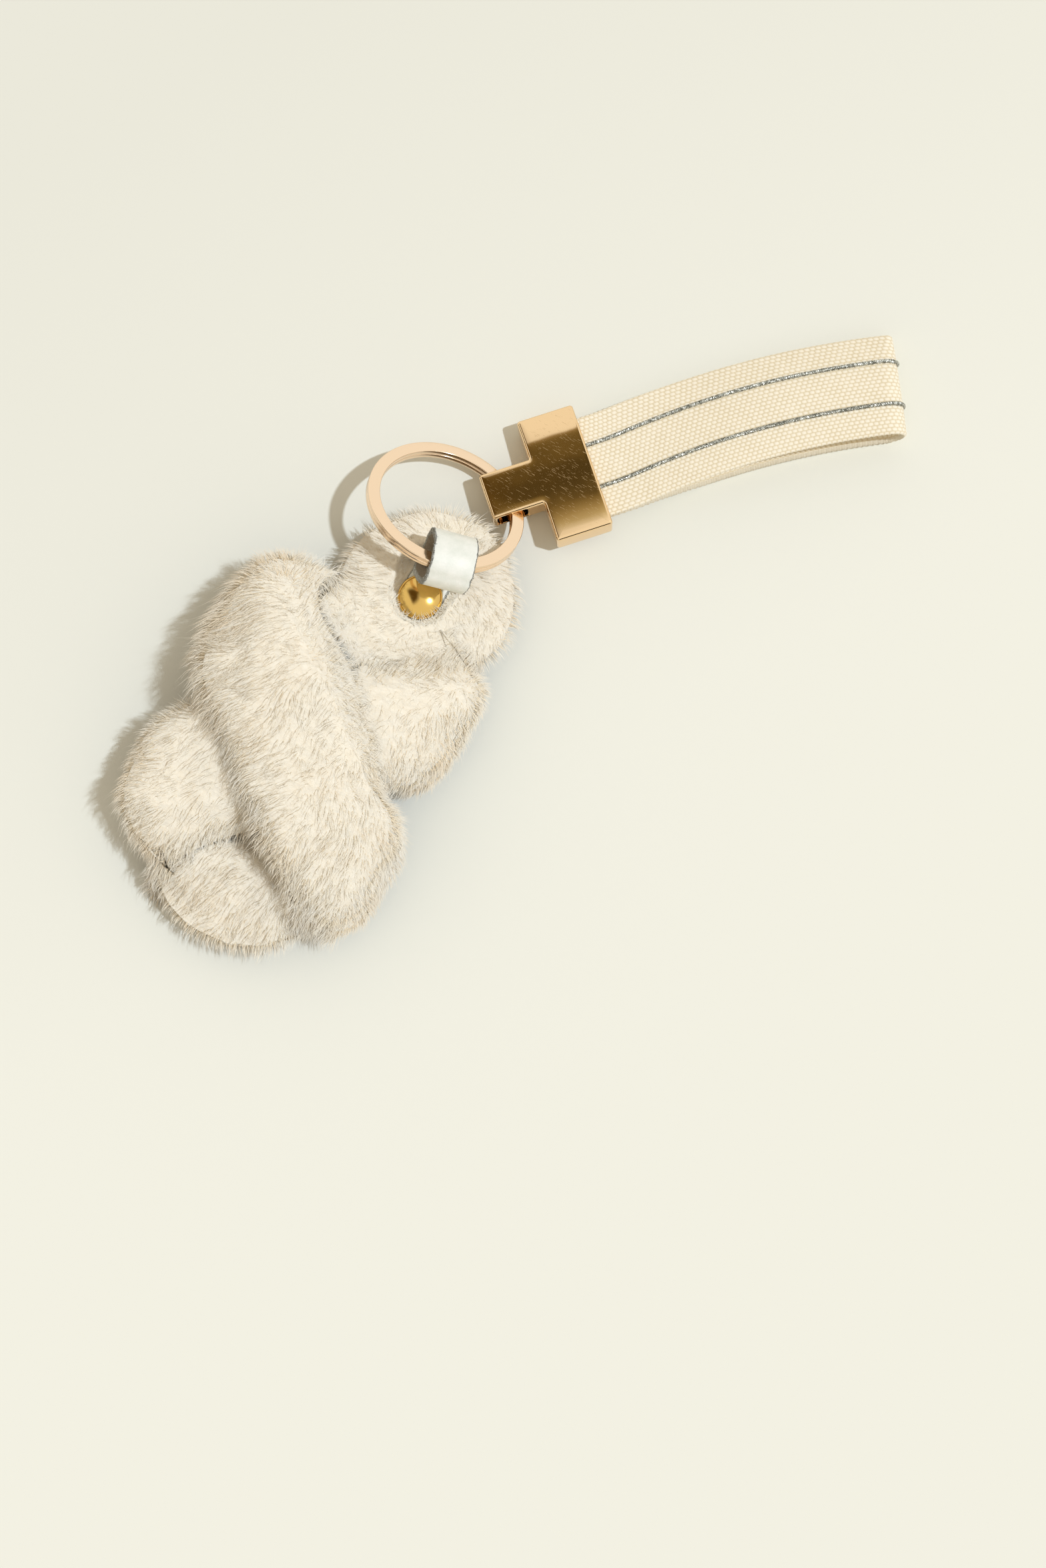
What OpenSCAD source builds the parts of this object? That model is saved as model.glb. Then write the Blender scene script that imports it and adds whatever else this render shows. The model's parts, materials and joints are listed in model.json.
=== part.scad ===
// Miniature shearling slide slipper on a split ring, with a T-shaped clasp and a webbing loop.
// Origin: centre of the sole's ground face. +Y points to the heel, -Y to the toe, +Z up.

/* [Sole] */
// Radius of the heel end of the sole
heel_r = 16.5; // [13:0.5:20]
// Radius of the ball and toe end of the sole
ball_r = 18.5; // [15:0.5:22]
// Distance from the origin to the centre of the heel radius
heel_y = 34.5; // [28:0.5:42]
// Distance from the origin to the centre of the toe radius
ball_y = 33; // [27:0.5:40]
// Half width of the sole at the waist
waist_half = 14.5; // [11:0.5:16]
// Thickness of the outsole
outsole_t = 3; // [2.4:0.2:5]
// Width and height of the step under the outsole's rim
outsole_step = 0.7; // [0.3:0.1:1]
// Thickness of the insole board
board_t = 1.2; // [0.8:0.1:2]
// How far the board and the footbed stop short of the outsole's rim
board_inset = 1.9; // [1.6:0.1:3]

/* [Sheepskin] */
// Thickness of the hide under the pile
hide_t = 1.1; // [0.8:0.1:1.6]
// Height of the pile on the footbed
footbed_pile = 6.2; // [4:0.2:9]
// Height of the pile on the straps
strap_pile = 6.4; // [4:0.2:9]
// How far the pile stands out past the edge of its hide
pile_overhang = 4.5; // [2:0.5:6]

/* [Straps] */
// Width of each strap's hide, measured along the sole
strap_w = 25.5; // [20:0.5:30]
// Half of the span of the straps at their widest
strap_half_span = 24; // [21:0.5:27]
// Height above the ground at which the straps are widest
strap_belly_z = 12; // [10:0.5:15]
// Rise of the under strap above its widest level
under_rise = 7.2; // [6:0.2:12]
// Rise of the over strap above its widest level
over_rise = 14.6; // [13:0.2:20]
// Share of the under strap's pile that is pressed down where the over strap crosses it
under_pressed = 0.4; // [0:0.05:0.6]
// How far the upper leans to the outer side
strap_lean = 4.5; // [0:0.5:6]
// How far along the sole each strap runs forward or back, from its middle to its ends
strap_skew = 18.4; // [14:0.2:22]
// Place along the sole where the straps cross
cross_y = -9; // [-14:0.5:-4]

/* [Rivet] */
// Place of the rivet along the sole
rivet_y = 34; // [28:0.5:38]
// Diameter of the rivet's domed cap
cap_d = 10; // [8:0.5:12]
// Height of the rivet's domed cap
cap_h = 1.9; // [1.4:0.1:3]
// Diameter of the cap's socket
socket_d = 4.4; // [3.6:0.1:5]
// Diameter of the post pressed into the socket
post_d = 3; // [2:0.1:3.2]
// Running clearance of the tab's hole on the socket, per side
socket_gap = 0.08; // [0.02:0.01:0.1]

/* [Leather tab] */
// Width of the leather strip
tab_w = 9.5; // [7:0.5:11]
// Thickness of the leather
tab_t = 1.4; // [1:0.1:1.8]
// Inside diameter of the loop that holds the ring
tab_loop_d = 10.2; // [8.6:0.2:12]
// Distance from the rivet to the pinched neck of the loop
tab_neck = 7; // [6:0.5:9]

/* [Split ring] */
// Outside diameter of the split ring
ring_d = 36; // [30:0.5:38]
// Width of the ring's flat wire
ring_w = 2.7; // [2:0.1:3.2]
// Thickness of one turn of the ring's wire
ring_t = 1.08; // [0.8:0.02:1.3]
// Gap between the two turns
ring_gap = 0.04; // [0.02:0.01:0.1]
// Angle over which the wire steps from one turn to the other
ring_step_angle = 22; // [16:1:40]
// Gap between each end of the wire and the step
ring_tip_angle = 1.5; // [1:0.1:4]
// Tilt of the ring's plane from level, as it leans from the tab down to the clasp
ring_tilt = 35.2; // [30:0.2:40]

/* [Clasp] */
// Length of the clasp's bar, across the webbing
bar_l = 29.4; // [27.5:0.1:34]
// Width of the clasp's bar, along the webbing
bar_w = 13.1; // [11:0.1:16]
// Width of the clasp's neck
neck_w = 10.8; // [9:0.1:11]
// Length of the clasp's neck
neck_l = 11.95; // [11:0.05:15]
// Thickness of the clasp
clasp_t = 7.4; // [7:0.1:9]
// Thickness of the plates above and below the eye
eye_wall = 0.95; // [0.8:0.05:1.1]
// Length of the eye, along the neck
eye_l = 7.2; // [6.4:0.1:8]
// Radius of the rounded top edges
edge_r = 0.8; // [0.4:0.1:1.2]
// Height of the clasp's mouth
mouth_h = 3.8; // [3.7:0.1:4.2]
// Depth of the clasp's mouth
mouth_depth = 10; // [8:0.5:11]
// Diameter of the grub screws in the back of the clasp
screw_d = 2.6; // [2:0.1:3]
// Distance between the two screws
screw_pitch = 15; // [11:0.5:18]
// Roll of the clasp as it lies, toe side up
clasp_roll = 6; // [2:0.1:7]
// Direction of the clasp's length on the ground, from the slipper's right
clasp_heading = 48.6; // [44:0.1:54]

/* [Webbing] */
// Width of the webbing
web_w = 24; // [20:0.2:25]
// Thickness of the webbing
web_t = 1.4; // [1:0.1:1.5]
// Length of the folded loop outside the clasp
web_l = 71.8; // [50:1:90]
// Height of the fold at the far end, at the middle of the webbing
fold_h = 6.6; // [6:0.1:9]
// Slope of the upper layer across its width at the far end, which opens the fold on one side
upper_slope = 14; // [0:1:18]
// Turn of the webbing just outside the clasp
web_turn = 7.6; // [0:0.2:10]
// Radius of the webbing's long curve as it lies
web_bend_r = 210; // [180:10:600]
// Distance between the two metallic cords
cord_pitch = 10.1; // [8:0.1:13]
// Width of a metallic cord
cord_w = 0.95; // [0.6:0.05:1.4]
// How far a metallic cord stands proud of the webbing
cord_h = 0.35; // [0.2:0.05:0.6]

/* [Hidden] */
$fn = 72;
eps = 0.01;
seat_gap = 0.05;

wool = "linen";
skin = "antiquewhite";
rose_gold = "burlywood";

// Levels of the sole's layers
board_z = outsole_t;
hide_z = board_z + board_t;
pile_z = hide_z + hide_t;

// Where the ring's plane and the clasp lie
ring_c = [-4.98, 53.6, 13];
ring_heading = 86.6;
eye_c = [4.41, 64.04, 5.2];

// ---------- shared shapes ----------

// Sole outline from two radii, their common tangents and a hollowed waist
module sole_outline(inset) {
    rise = asin((ball_r - heel_r) / (heel_y + ball_y));
    hx = (heel_r - inset) * cos(rise);
    hy = heel_y + (heel_r - inset) * sin(rise);
    bx = (ball_r - inset) * cos(rise);
    by = -ball_y + (ball_r - inset) * sin(rise);
    waist_r = 95;
    difference() {
        union() {
            translate([0, heel_y]) circle(heel_r - inset);
            translate([0, -ball_y]) circle(ball_r - inset);
            polygon([[hx, hy], [-hx, hy], [-bx, by], [bx, by]]);
        }
        for (side = [-1, 1])
            translate([side * (waist_half - inset + waist_r), (heel_y - ball_y) / 2])
                circle(waist_r, $fn = 180);
    }
}

// A closed loop of points round the sole: past the rim at both ends, inside the straps between them
function mid_share(y) = let (t = (y - cross_y) / (strap_w / 2 + strap_skew + 6.5)) 1 / (1 + pow(t, 16));
function pile_loop(grow, z, steps = 14) = let (
    inner = board_inset + 0.6,
    rim = function(a, r, y0, s) let (y = y0 + s * (r + grow) * sin(a))
        [(r + grow - mid_share(y) * (grow + inner)) * cos(a), y, z],
    side = function(y, s) let (
            along = (heel_y - y) / (heel_y + ball_y),
            r = heel_r + (ball_r - heel_r) * along,
            hollow = (r - waist_half) * pow(sin(180 * along), 2))
        [s * (r - hollow + grow - mid_share(y) * (grow + inner)), y, z])
    concat([for (i = [0 : steps]) rim(180 * i / steps, heel_r, heel_y, 1)],
        [for (i = [1 : steps - 1]) side(heel_y - (heel_y + ball_y) * i / steps, -1)],
        [for (i = [0 : steps]) rim(180 - 180 * i / steps, ball_r, -ball_y, -1)],
        [for (i = [1 : steps - 1]) side(-ball_y + (heel_y + ball_y) * i / steps, 1)]);

// A solid through a list of rings, all with the same number of points
module loft(rings) {
    n = len(rings[0]);
    m = len(rings);
    polyhedron(
        points = [for (r = rings) each r],
        faces = concat([[for (i = [0 : n - 1]) i]],
            [for (k = [0 : m - 2], i = [0 : n - 1], half = [0, 1])
                let (j = (i + 1) % n, a = k * n + i, b = (k + 1) * n + j)
                half == 0 ? [a, (k + 1) * n + i, b] : [a, b, k * n + j]],
            [[for (i = [n - 1 : -1 : 0]) (m - 1) * n + i]]),
        convexity = 6);
}

// Corner cutting, which rounds an open path
function cut_corners(p) = concat([p[0]],
    [for (i = [0 : len(p) - 2]) each [0.75 * p[i] + 0.25 * p[i + 1], 0.25 * p[i] + 0.75 * p[i + 1]]],
    [p[len(p) - 1]]);

// Rectangle with round corners, made of exact arcs
module round_rect(w, h, r) {
    square([w - 2 * r, h], center = true);
    square([w, h - 2 * r], center = true);
    for (x = [-1, 1], y = [-1, 1])
        translate([x * (w / 2 - r), y * (h / 2 - r)]) circle(r, $fn = 32);
}

// ---------- slipper ----------

module outsole() {
    color("tan") difference() {
        union() {
            linear_extrude(outsole_step + eps) sole_outline(outsole_step);
            translate([0, 0, outsole_step]) linear_extrude(outsole_t - outsole_step) sole_outline(0);
        }
        translate([0, rivet_y, outsole_t - base_flange_t - seat_gap])
            cylinder(d = cap_d, h = outsole_t);
    }
}

module insole_board() {
    color("peru") difference() {
        translate([0, 0, board_z]) linear_extrude(board_t) sole_outline(board_inset);
        translate([0, rivet_y, 0]) cylinder(d = socket_d + 2 * socket_gap, h = pile_z);
    }
}

module footbed_hide() {
    color(skin) difference() {
        translate([0, 0, hide_z]) linear_extrude(hide_t) sole_outline(board_inset);
        translate([0, rivet_y, 0]) cylinder(d = socket_d + 2 * socket_gap, h = pile_z + 1);
    }
}

module footbed_fleece() {
    h = footbed_pile;
    color(wool) difference() {
        loft([pile_loop(-board_inset, pile_z), pile_loop(pile_overhang * 0.6, pile_z + 0.1 * h),
            pile_loop(pile_overhang, pile_z + 0.4 * h), pile_loop(pile_overhang * 0.8, pile_z + 0.7 * h),
            pile_loop(pile_overhang * 0.25, pile_z + 0.92 * h), pile_loop(-2.5, pile_z + h)]);
        // Hollow pressed into the pile by the rivet and the tab
        translate([0, rivet_y, pile_z - 1]) cylinder(d = cap_d + 2, h = h + 2);
        translate([0, rivet_y + tab_neck, pile_z - 1]) cylinder(d = tab_w + 8, h = h + 2);
    }
}

// Arch of a strap in the plane across the sole: 0 is its right end and 1 its left end.
// Its feet stand on the outsole's rim, its belly is at strap_belly_z.
foot_share = 0.16;
function arch_raw(t, rise) = t < foot_share ? arch_foot(1, t / foot_share)
    : t > 1 - foot_share ? arch_foot(-1, (1 - t) / foot_share)
    : let (a = 180 * (t - foot_share) / (1 - 2 * foot_share))
        [strap_half_span * cos(a), strap_belly_z + rise * pow(sin(a), 0.8)];
function arch_foot(side, f) = let (a = 80 * (1 - f), foot_x = heel_r + 1)
    [side * (strap_half_span - (strap_half_span - foot_x) * (1 - cos(a)) / (1 - cos(80))),
        strap_belly_z - (strap_belly_z - outsole_t - 0.1) * sin(a) / sin(80)];
function arch(t, rise) = let (p = arch_raw(t, rise))
    [p.x - strap_lean * min(1, (p.y - outsole_t) / (strap_belly_z - outsole_t)), p.y];
function arch_out(t, rise) = let (d = arch(t + 0.01, rise) - arch(t - 0.01, rise))
    [d.y, max(-d.x, -0.2 * norm(d))] / norm([d.y, max(-d.x, -0.2 * norm(d))]);

// Where a strap's middle lies along the sole: dir is 1 if its left end is nearer the heel
function strap_y(t, dir) = cross_y - dir * strap_skew
    * cos(180 * max(0, min(1, (t - foot_share) / (1 - 2 * foot_share))));

// One cross-section of a strap: section is a list of [along the sole, out from the arch]
function strap_ring(t, rise, dir, section) = let (
    p = arch(t, rise),
    o = arch_out(t, rise),
    y = strap_y(t, dir))
    [for (s = section) [p.x + o.x * s.y, y + s.x, p.y + o.y * s.y]];

module strap(rise, dir, section, from = 0.012, steps = 30) {
    loft([for (i = [0 : steps]) strap_ring(from + (1 - 2 * from) * i / steps, rise, dir, section(i / steps))]);
}

hide_section = function(f) let (w = strap_w / 2) [[-w, hide_t], [w, hide_t], [w, 0], [-w, 0]];

// Pile: rounded over both edges, shorter at the feet and pressed down by a share in the middle
function pile_section(pressed) = function(f) let (
    w = strap_w / 2,
    h = strap_pile * (0.55 + 0.45 * pow(sin(180 * f), 0.5)) * (1 - pressed * pow(sin(180 * f), 4)),
    o = pile_overhang,
    half = [[w, 0], [w + 0.8 * o, 0.05], [w + o, 0.2], [w + 0.7 * o, 0.5], [w - 1, 0.84], [w / 3, 1]])
    concat([for (p = half) [-p.x, hide_t + seat_gap + p.y * h]],
        [for (i = [len(half) - 1 : -1 : 0]) [half[i].x, hide_t + seat_gap + half[i].y * h]]);

module under_strap_hide() {
    color(skin) strap(under_rise, -1, hide_section);
}

module under_strap_fleece() {
    color(wool) strap(under_rise, -1, pile_section(under_pressed));
}

module over_strap_hide() {
    color(skin) strap(over_rise, 1, hide_section);
}

module over_strap_fleece() {
    color(wool) strap(over_rise, 1, pile_section(0));
}

// ---------- rivet ----------

base_flange_t = 0.8;
cap_z = pile_z + 2 * tab_t + 2 * seat_gap;

module rivet_cap() {
    sphere_r = (pow(cap_d / 2, 2) + pow(cap_h - 0.4, 2)) / (2 * (cap_h - 0.4));
    color("goldenrod") translate([0, rivet_y, 0]) difference() {
        union() {
            translate([0, 0, cap_z]) cylinder(d = cap_d, h = 0.4);
            intersection() {
                translate([0, 0, cap_z + cap_h - sphere_r]) sphere(sphere_r, $fn = 144);
                translate([0, 0, cap_z + 0.4 - eps]) cylinder(d = cap_d, h = cap_h);
            }
            translate([0, 0, board_z + 0.2]) cylinder(d = socket_d, h = cap_z - board_z);
        }
        translate([0, 0, board_z - 1]) cylinder(d = post_d + 2 * seat_gap, h = cap_z - board_z + 0.8);
    }
}

module rivet_base() {
    color("goldenrod") translate([0, rivet_y, 0]) {
        translate([0, 0, board_z - base_flange_t]) cylinder(d = cap_d - 1, h = base_flange_t);
        translate([0, 0, board_z - eps]) cylinder(d = post_d, h = cap_z - board_z - 0.4);
    }
}

// ---------- leather tab ----------

loop_r = (tab_loop_d + tab_t) / 2;
loop_c = [3.5, rivet_y + 8.5, 19.6];
loop_turn = 19;
tab_mid_z = pile_z + seat_gap + tab_t;
layer_gap = 0.02;

// Side view of the loop's centreline, in its own upright plane: out of the neck, round the ring and back
function tab_path() = let (
    n = [rivet_y + tab_neck, tab_mid_z],
    low = [n.x - 3, n.y - tab_t / 2],
    high = [n.x - 3, n.y + tab_t / 2],
    q = [loop_c.y, loop_c.z],
    lean = atan2(q.y - n.y, q.x - n.x),
    half = acos(loop_r / norm(q - n)))
    concat([low, n + [0.4, -tab_t / 2]],
        [for (i = [0 : 10]) let (a = lean + 180 + half + (360 - 2 * half) * i / 10)
            q + loop_r * [cos(a), sin(a)]],
        [n + [-0.4, tab_t / 2], high]);

module hang_tab() {
    path = cut_corners(cut_corners(tab_path()));
    last = len(path) - 1;
    half_t = tab_t / 2 - layer_gap;
    rings = [for (i = [0 : last]) let (
            d = path[min(i + 1, last)] - path[max(i - 1, 0)],
            out = [d.y, -d.x] / norm(d),
            up = max(0, min(1, (path[i].y - tab_mid_z - 1) / (loop_c.z - tab_mid_z - 1))),
            turn = loop_turn * up,
            w = tab_w / 2)
        [for (c = [[-w, -1], [w, -1], [w, 1], [-w, 1]])
            let (along = path[i].x + out.x * c.y * half_t)
            [loop_c.x * up - (along - loop_c.y) * sin(turn) + c.x * cos(turn),
                loop_c.y + (along - loop_c.y) * cos(turn) + c.x * sin(turn),
                path[i].y + out.y * c.y * half_t]]];
    color("whitesmoke") difference() {
        union() {
            translate([0, 0, pile_z + seat_gap]) linear_extrude(2 * tab_t) {
                translate([0, rivet_y]) circle(d = tab_w);
                translate([-tab_w / 2, rivet_y]) square([tab_w, tab_neck - 2.5]);
            }
            loft(rings);
        }
        translate([0, rivet_y, 0]) cylinder(d = socket_d + 2 * socket_gap, h = cap_z + 0.2);
    }
}

// ---------- split ring ----------

// Section of the wire from its inner to its outer edge, made smaller all round by inset
wire_edge = 0.14;
function wire_section(inset) = let (
    c = wire_edge,
    lo = inset,
    hi = ring_t - inset,
    a = ring_d / 2 - ring_w + inset,
    b = ring_d / 2 - inset)
    [[a + c, lo], [b - c, lo], [b, lo + c], [b, hi - c], [b - c, hi], [a + c, hi], [a, hi - c], [a, lo + c]];

// Two flat turns of wire, joined where the wire steps up by its own thickness
module split_ring() {
    pitch = ring_t + ring_gap;
    steps = 10;
    lap = 1;
    turn = 360 - ring_step_angle - ring_tip_angle;
    color(rose_gold) place_ring() translate([0, 0, -(pitch + ring_t) / 2]) {
        rotate([0, 0, -turn]) rotate_extrude(angle = turn, $fn = 144) polygon(wire_section(0));
        translate([0, 0, pitch]) rotate([0, 0, ring_step_angle])
            rotate_extrude(angle = turn, $fn = 144) polygon(wire_section(0));
        loft([for (i = [-1 : steps + 1]) let (
                f = max(0, min(1, i / steps)),
                a = ring_step_angle * f + lap * (i < 0 ? -1 : i > steps ? 1 : 0),
                z = pitch * (0.5 - 0.5 * cos(180 * f)),
                section = wire_section(0.02))
            [for (k = [len(section) - 1 : -1 : 0])
                [section[k].x * cos(a), section[k].x * sin(a), z + section[k].y]]]);
    }
}

// Ring frame: level at the ring's centre, then leaned down towards ring_heading
ring_spin = -38;
module place_ring() {
    translate(ring_c) rotate([0, ring_tilt, ring_heading]) rotate([0, 0, ring_spin]) children();
}

// ---------- clasp ----------

// Clasp frame: x along the webbing, y across it, origin at the middle of the eye
module place_clasp() {
    translate(eye_c) rotate([-clasp_roll, 0, clasp_heading]) children();
}
eye_to_bar = neck_l - eye_wall - eye_l / 2 - 0.1;

// Block with rounded plan corners and rounded top edges
module soft_block(l, w, h, r) {
    intersection() {
        translate([0, 0, -h / 2]) linear_extrude(h) round_rect(l, w, r);
        rotate([90, 0, 0]) translate([0, 0, -w]) linear_extrude(2 * w) edge_profile(l, h);
        rotate([90, 0, 90]) translate([0, 0, -l]) linear_extrude(2 * l) edge_profile(w, h);
    }
}

// End view of a block: round top edges and a chamfer below
module edge_profile(w, h) {
    below = 1.3;
    hull_w = w / 2;
    union() {
        translate([-hull_w + edge_r, -h / 2 + below]) square([w - 2 * edge_r, h - below]);
        translate([-hull_w, -h / 2 + below]) square([w, h - below - edge_r]);
        for (s = [-1, 1]) translate([s * (hull_w - edge_r), h / 2 - edge_r]) circle(edge_r, $fn = 40);
        polygon([[-hull_w, -h / 2 + below], [hull_w, -h / 2 + below],
            [hull_w - below, -h / 2], [-hull_w + below, -h / 2]]);
    }
}

module clasp_solid() {
    translate([eye_to_bar + bar_w / 2, 0, 0]) soft_block(bar_w, bar_l, clasp_t, 1.2);
    translate([eye_to_bar - neck_l / 2 + 1.5, 0, 0]) soft_block(neck_l + 3, neck_w, clasp_t, 0.9);
}

module clasp_body() {
    eye_h = clasp_t - 2 * eye_wall;
    color(rose_gold) place_clasp() difference() {
        clasp_solid();
        rotate([90, 0, 0]) translate([0, 0, -neck_w]) linear_extrude(2 * neck_w)
            round_rect(eye_l, eye_h, 1.2);
        for (s = [-1, 1]) translate([0, s * neck_w / 2, 0]) rotate([s * 90, 0, 0])
            eye_flare(eye_h);
        translate([eye_to_bar + bar_w - mouth_depth, -(web_w + 0.6) / 2, -mouth_h / 2])
            cube([mouth_depth + 1, web_w + 0.6, mouth_h]);
        for (s = [-1, 1]) translate([screw_x, s * screw_pitch / 2, -clasp_t])
            cylinder(d = screw_d + 2 * seat_gap, h = clasp_t);
    }
}

// Rounded lip of the eye, in three short steps
module eye_flare(eye_h) {
    for (i = [0 : 2]) translate([0, 0, -0.45 + 0.15 * i])
        linear_extrude(1) round_rect(eye_l + 0.16 * (i + 1), eye_h + 0.24 * (i + 1), 1.2);
}

screw_x = eye_to_bar + bar_w - mouth_depth / 2;
screw_slot = 0.45;

// Slotted grub screws that pinch the webbing's ends from the hidden face
module clasp_screws() {
    head_z = -clasp_t / 2 + 0.15;
    tip_z = -web_t - 2 * seat_gap;
    color("silver") place_clasp() for (s = [-1, 1]) translate([screw_x, s * screw_pitch / 2, 0]) difference() {
        translate([0, 0, head_z]) cylinder(d = screw_d, h = tip_z - head_z);
        translate([-screw_d, -screw_slot / 2, head_z - 1]) cube([2 * screw_d, screw_slot, 1 + screw_slot]);
    }
}

// ---------- webbing ----------

// Middle of the mouth, and the directions along and across the clasp
along_clasp = [cos(clasp_heading), sin(clasp_heading)];
across_clasp = [-sin(clasp_heading), cos(clasp_heading)];
mouth = [eye_c.x, eye_c.y] + (eye_to_bar + bar_w) * along_clasp;

// Place of the webbing's middle and its heading, a distance s out of the mouth
turn_l = 10;
function ease(s, l) = let (f = max(0, min(1, s / l))) f * f * (3 - 2 * f);
function eased_run(s, l) = let (f = max(0, min(1, s / l))) l * (pow(f, 3) - pow(f, 4) / 2) + max(0, s - l);
function web_drift(s) = web_turn * PI / 180 * eased_run(s, turn_l) - pow(max(0, s), 2) / (2 * web_bend_r);
function web_mid(s) = mouth + s * along_clasp + web_drift(s) * across_clasp;
function web_heading(s) = clasp_heading + web_turn * ease(s, turn_l) - max(0, s) * 180 / PI / web_bend_r;

// Height of each layer's middle at a distance s out of the mouth and k across the webbing:
// both slope with the clasp in the mouth, then the lower one lies flat and the upper one tilts up
cord_gap = 0.05;
web_ground = 0.06 + cord_gap + cord_h + web_t / 2;
function lower_z(s, k) = let (z0 = eye_c.z - web_t / 2 - 0.02)
    z0 + (web_ground - z0) * ease(s, 26) - k * tan(clasp_roll * (1 - ease(s, 30)));
function upper_z(s, k) = let (z0 = eye_c.z + web_t / 2 + 0.02)
    z0 + (web_ground + fold_h - web_t - z0) * ease(s, web_l - 10)
        - k * tan(clasp_roll + (upper_slope - clasp_roll) * ease(s, 30));

layer_steps = 14;

// Path of the webbing's centreline as [distance out, height], at k across: lower layer, fold, upper layer
function web_path(k) = let (
    inside = -mouth_depth + 1,
    fold_r = (upper_z(web_l, k) - lower_z(web_l, k)) / 2,
    bend = web_l - fold_r - web_t / 2,
    fold_z = lower_z(bend, k) + fold_r,
    out = [for (i = [0 : layer_steps]) inside + (bend - inside) * i / layer_steps],
    low = [for (s = out) [s, lower_z(s, k)]],
    fold = [for (a = [-67.5 : 22.5 : 67.5]) [bend + fold_r * cos(a), fold_z + fold_r * sin(a)]],
    high = [for (i = [layer_steps : -1 : 0]) [out[i], upper_z(out[i], k)]])
    concat(low, fold, high);

// Each row of the sweep, at k across: a point on the centreline and its outward direction
function web_row(k) = let (path = web_path(k), last = len(path) - 1)
    [for (i = [0 : last]) let (
            d = path[min(i + 1, last)] - path[max(i - 1, 0)],
            h = web_heading(path[i].x),
            m = web_mid(path[i].x) + k * [-sin(h), cos(h)])
        [[m.x, m.y, path[i].y], [d.y * cos(h), d.y * sin(h), -d.x] / norm(d)]];

// Sweep of a flat section along the webbing: [sideways, outwards] corners
module along_webbing(section) {
    south = web_row(-web_w / 2);
    north = web_row(web_w / 2);
    loft([for (i = [0 : len(north) - 1]) [for (c = section) let (
            f = 0.5 + c.x / web_w,
            row = north[i] * f + south[i] * (1 - f))
        row[0] + c.y * row[1]]]);
}

module webbing_loop() {
    w = web_w / 2;
    t = web_t / 2;
    cord_edges = [for (m = [-1, 1], c = [-1, 1]) [(m * cord_pitch + c * cord_w) / 2, t]];
    color("wheat") along_webbing(concat([[-w, t]], cord_edges, [[w, t], [w, -t], [-w, -t]]));
}

module metallic_cord(side) {
    m = side * cord_pitch / 2;
    along_webbing([for (c = [[-0.6, 1], [0.6, 1], [1, 0], [-1, 0]])
        [m + c.x * cord_w / 2, web_t / 2 + cord_gap + c.y * cord_h]]);
}

module near_metallic_cord() {
    color("silver") metallic_cord(-1);
}

module far_metallic_cord() {
    color("silver") metallic_cord(1);
}

outsole();
insole_board();
footbed_hide();
footbed_fleece();
under_strap_hide();
under_strap_fleece();
over_strap_hide();
over_strap_fleece();
rivet_cap();
rivet_base();
hang_tab();
split_ring();
clasp_body();
clasp_screws();
webbing_loop();
near_metallic_cord();
far_metallic_cord();
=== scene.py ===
"""Looks of a miniature shearling slide slipper on a split ring, with a T clasp and a webbing loop."""
import json
import math
from functools import partial

import bpy
import bmesh
import numpy as np
from mathutils import Matrix, Vector
from mathutils.bvhtree import BVHTree
from mathutils.geometry import delaunay_2d_cdt

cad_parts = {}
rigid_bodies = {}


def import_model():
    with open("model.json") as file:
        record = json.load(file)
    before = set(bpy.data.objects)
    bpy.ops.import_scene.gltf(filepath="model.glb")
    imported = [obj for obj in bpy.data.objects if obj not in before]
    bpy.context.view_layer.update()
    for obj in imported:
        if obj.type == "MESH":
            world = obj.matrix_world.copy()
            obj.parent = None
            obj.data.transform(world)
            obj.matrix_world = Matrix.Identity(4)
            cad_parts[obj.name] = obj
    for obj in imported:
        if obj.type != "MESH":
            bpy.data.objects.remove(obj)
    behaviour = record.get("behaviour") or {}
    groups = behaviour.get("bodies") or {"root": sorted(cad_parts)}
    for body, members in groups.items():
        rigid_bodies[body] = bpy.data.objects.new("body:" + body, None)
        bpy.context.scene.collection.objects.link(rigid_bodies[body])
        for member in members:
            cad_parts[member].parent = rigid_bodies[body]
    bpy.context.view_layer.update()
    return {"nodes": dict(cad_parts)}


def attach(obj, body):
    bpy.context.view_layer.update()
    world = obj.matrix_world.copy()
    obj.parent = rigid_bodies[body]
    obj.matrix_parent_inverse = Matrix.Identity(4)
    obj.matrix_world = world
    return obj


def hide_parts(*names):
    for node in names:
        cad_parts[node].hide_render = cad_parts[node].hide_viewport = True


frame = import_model()

bl_info = {
    "name": "Shearling slipper charm",
    "version": (1, 0, 0),
    "blender": (4, 5, 0),
    "location": "View3D > Sidebar > Charm",
    "description": "Dresses a miniature sheepskin slide, its split ring, T clasp and webbing loop",
    "category": "Object",
}

MM = 0.001
UP = np.array([0.0, 0.0, 1.0])


# ---------- the photograph's camera ----------

CAMERA_LENS = 64.0
CAMERA_SENSOR = 36.0
CAMERA_PLACE = Vector((0.07558, -0.04932, 0.61866))
CAMERA_ROLL = math.radians(30.5)
CAMERA_TILT = math.radians(6.4)
IMAGE_RIGHT = Vector((math.cos(CAMERA_ROLL), math.sin(CAMERA_ROLL), 0))
IMAGE_UP = Vector((-math.sin(CAMERA_ROLL), math.cos(CAMERA_ROLL), 0))
# Floor shadow of each millimetre of height, in the photograph's own directions
SHADOW_LEFT = 0.50
SHADOW_UP = 0.05

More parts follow.
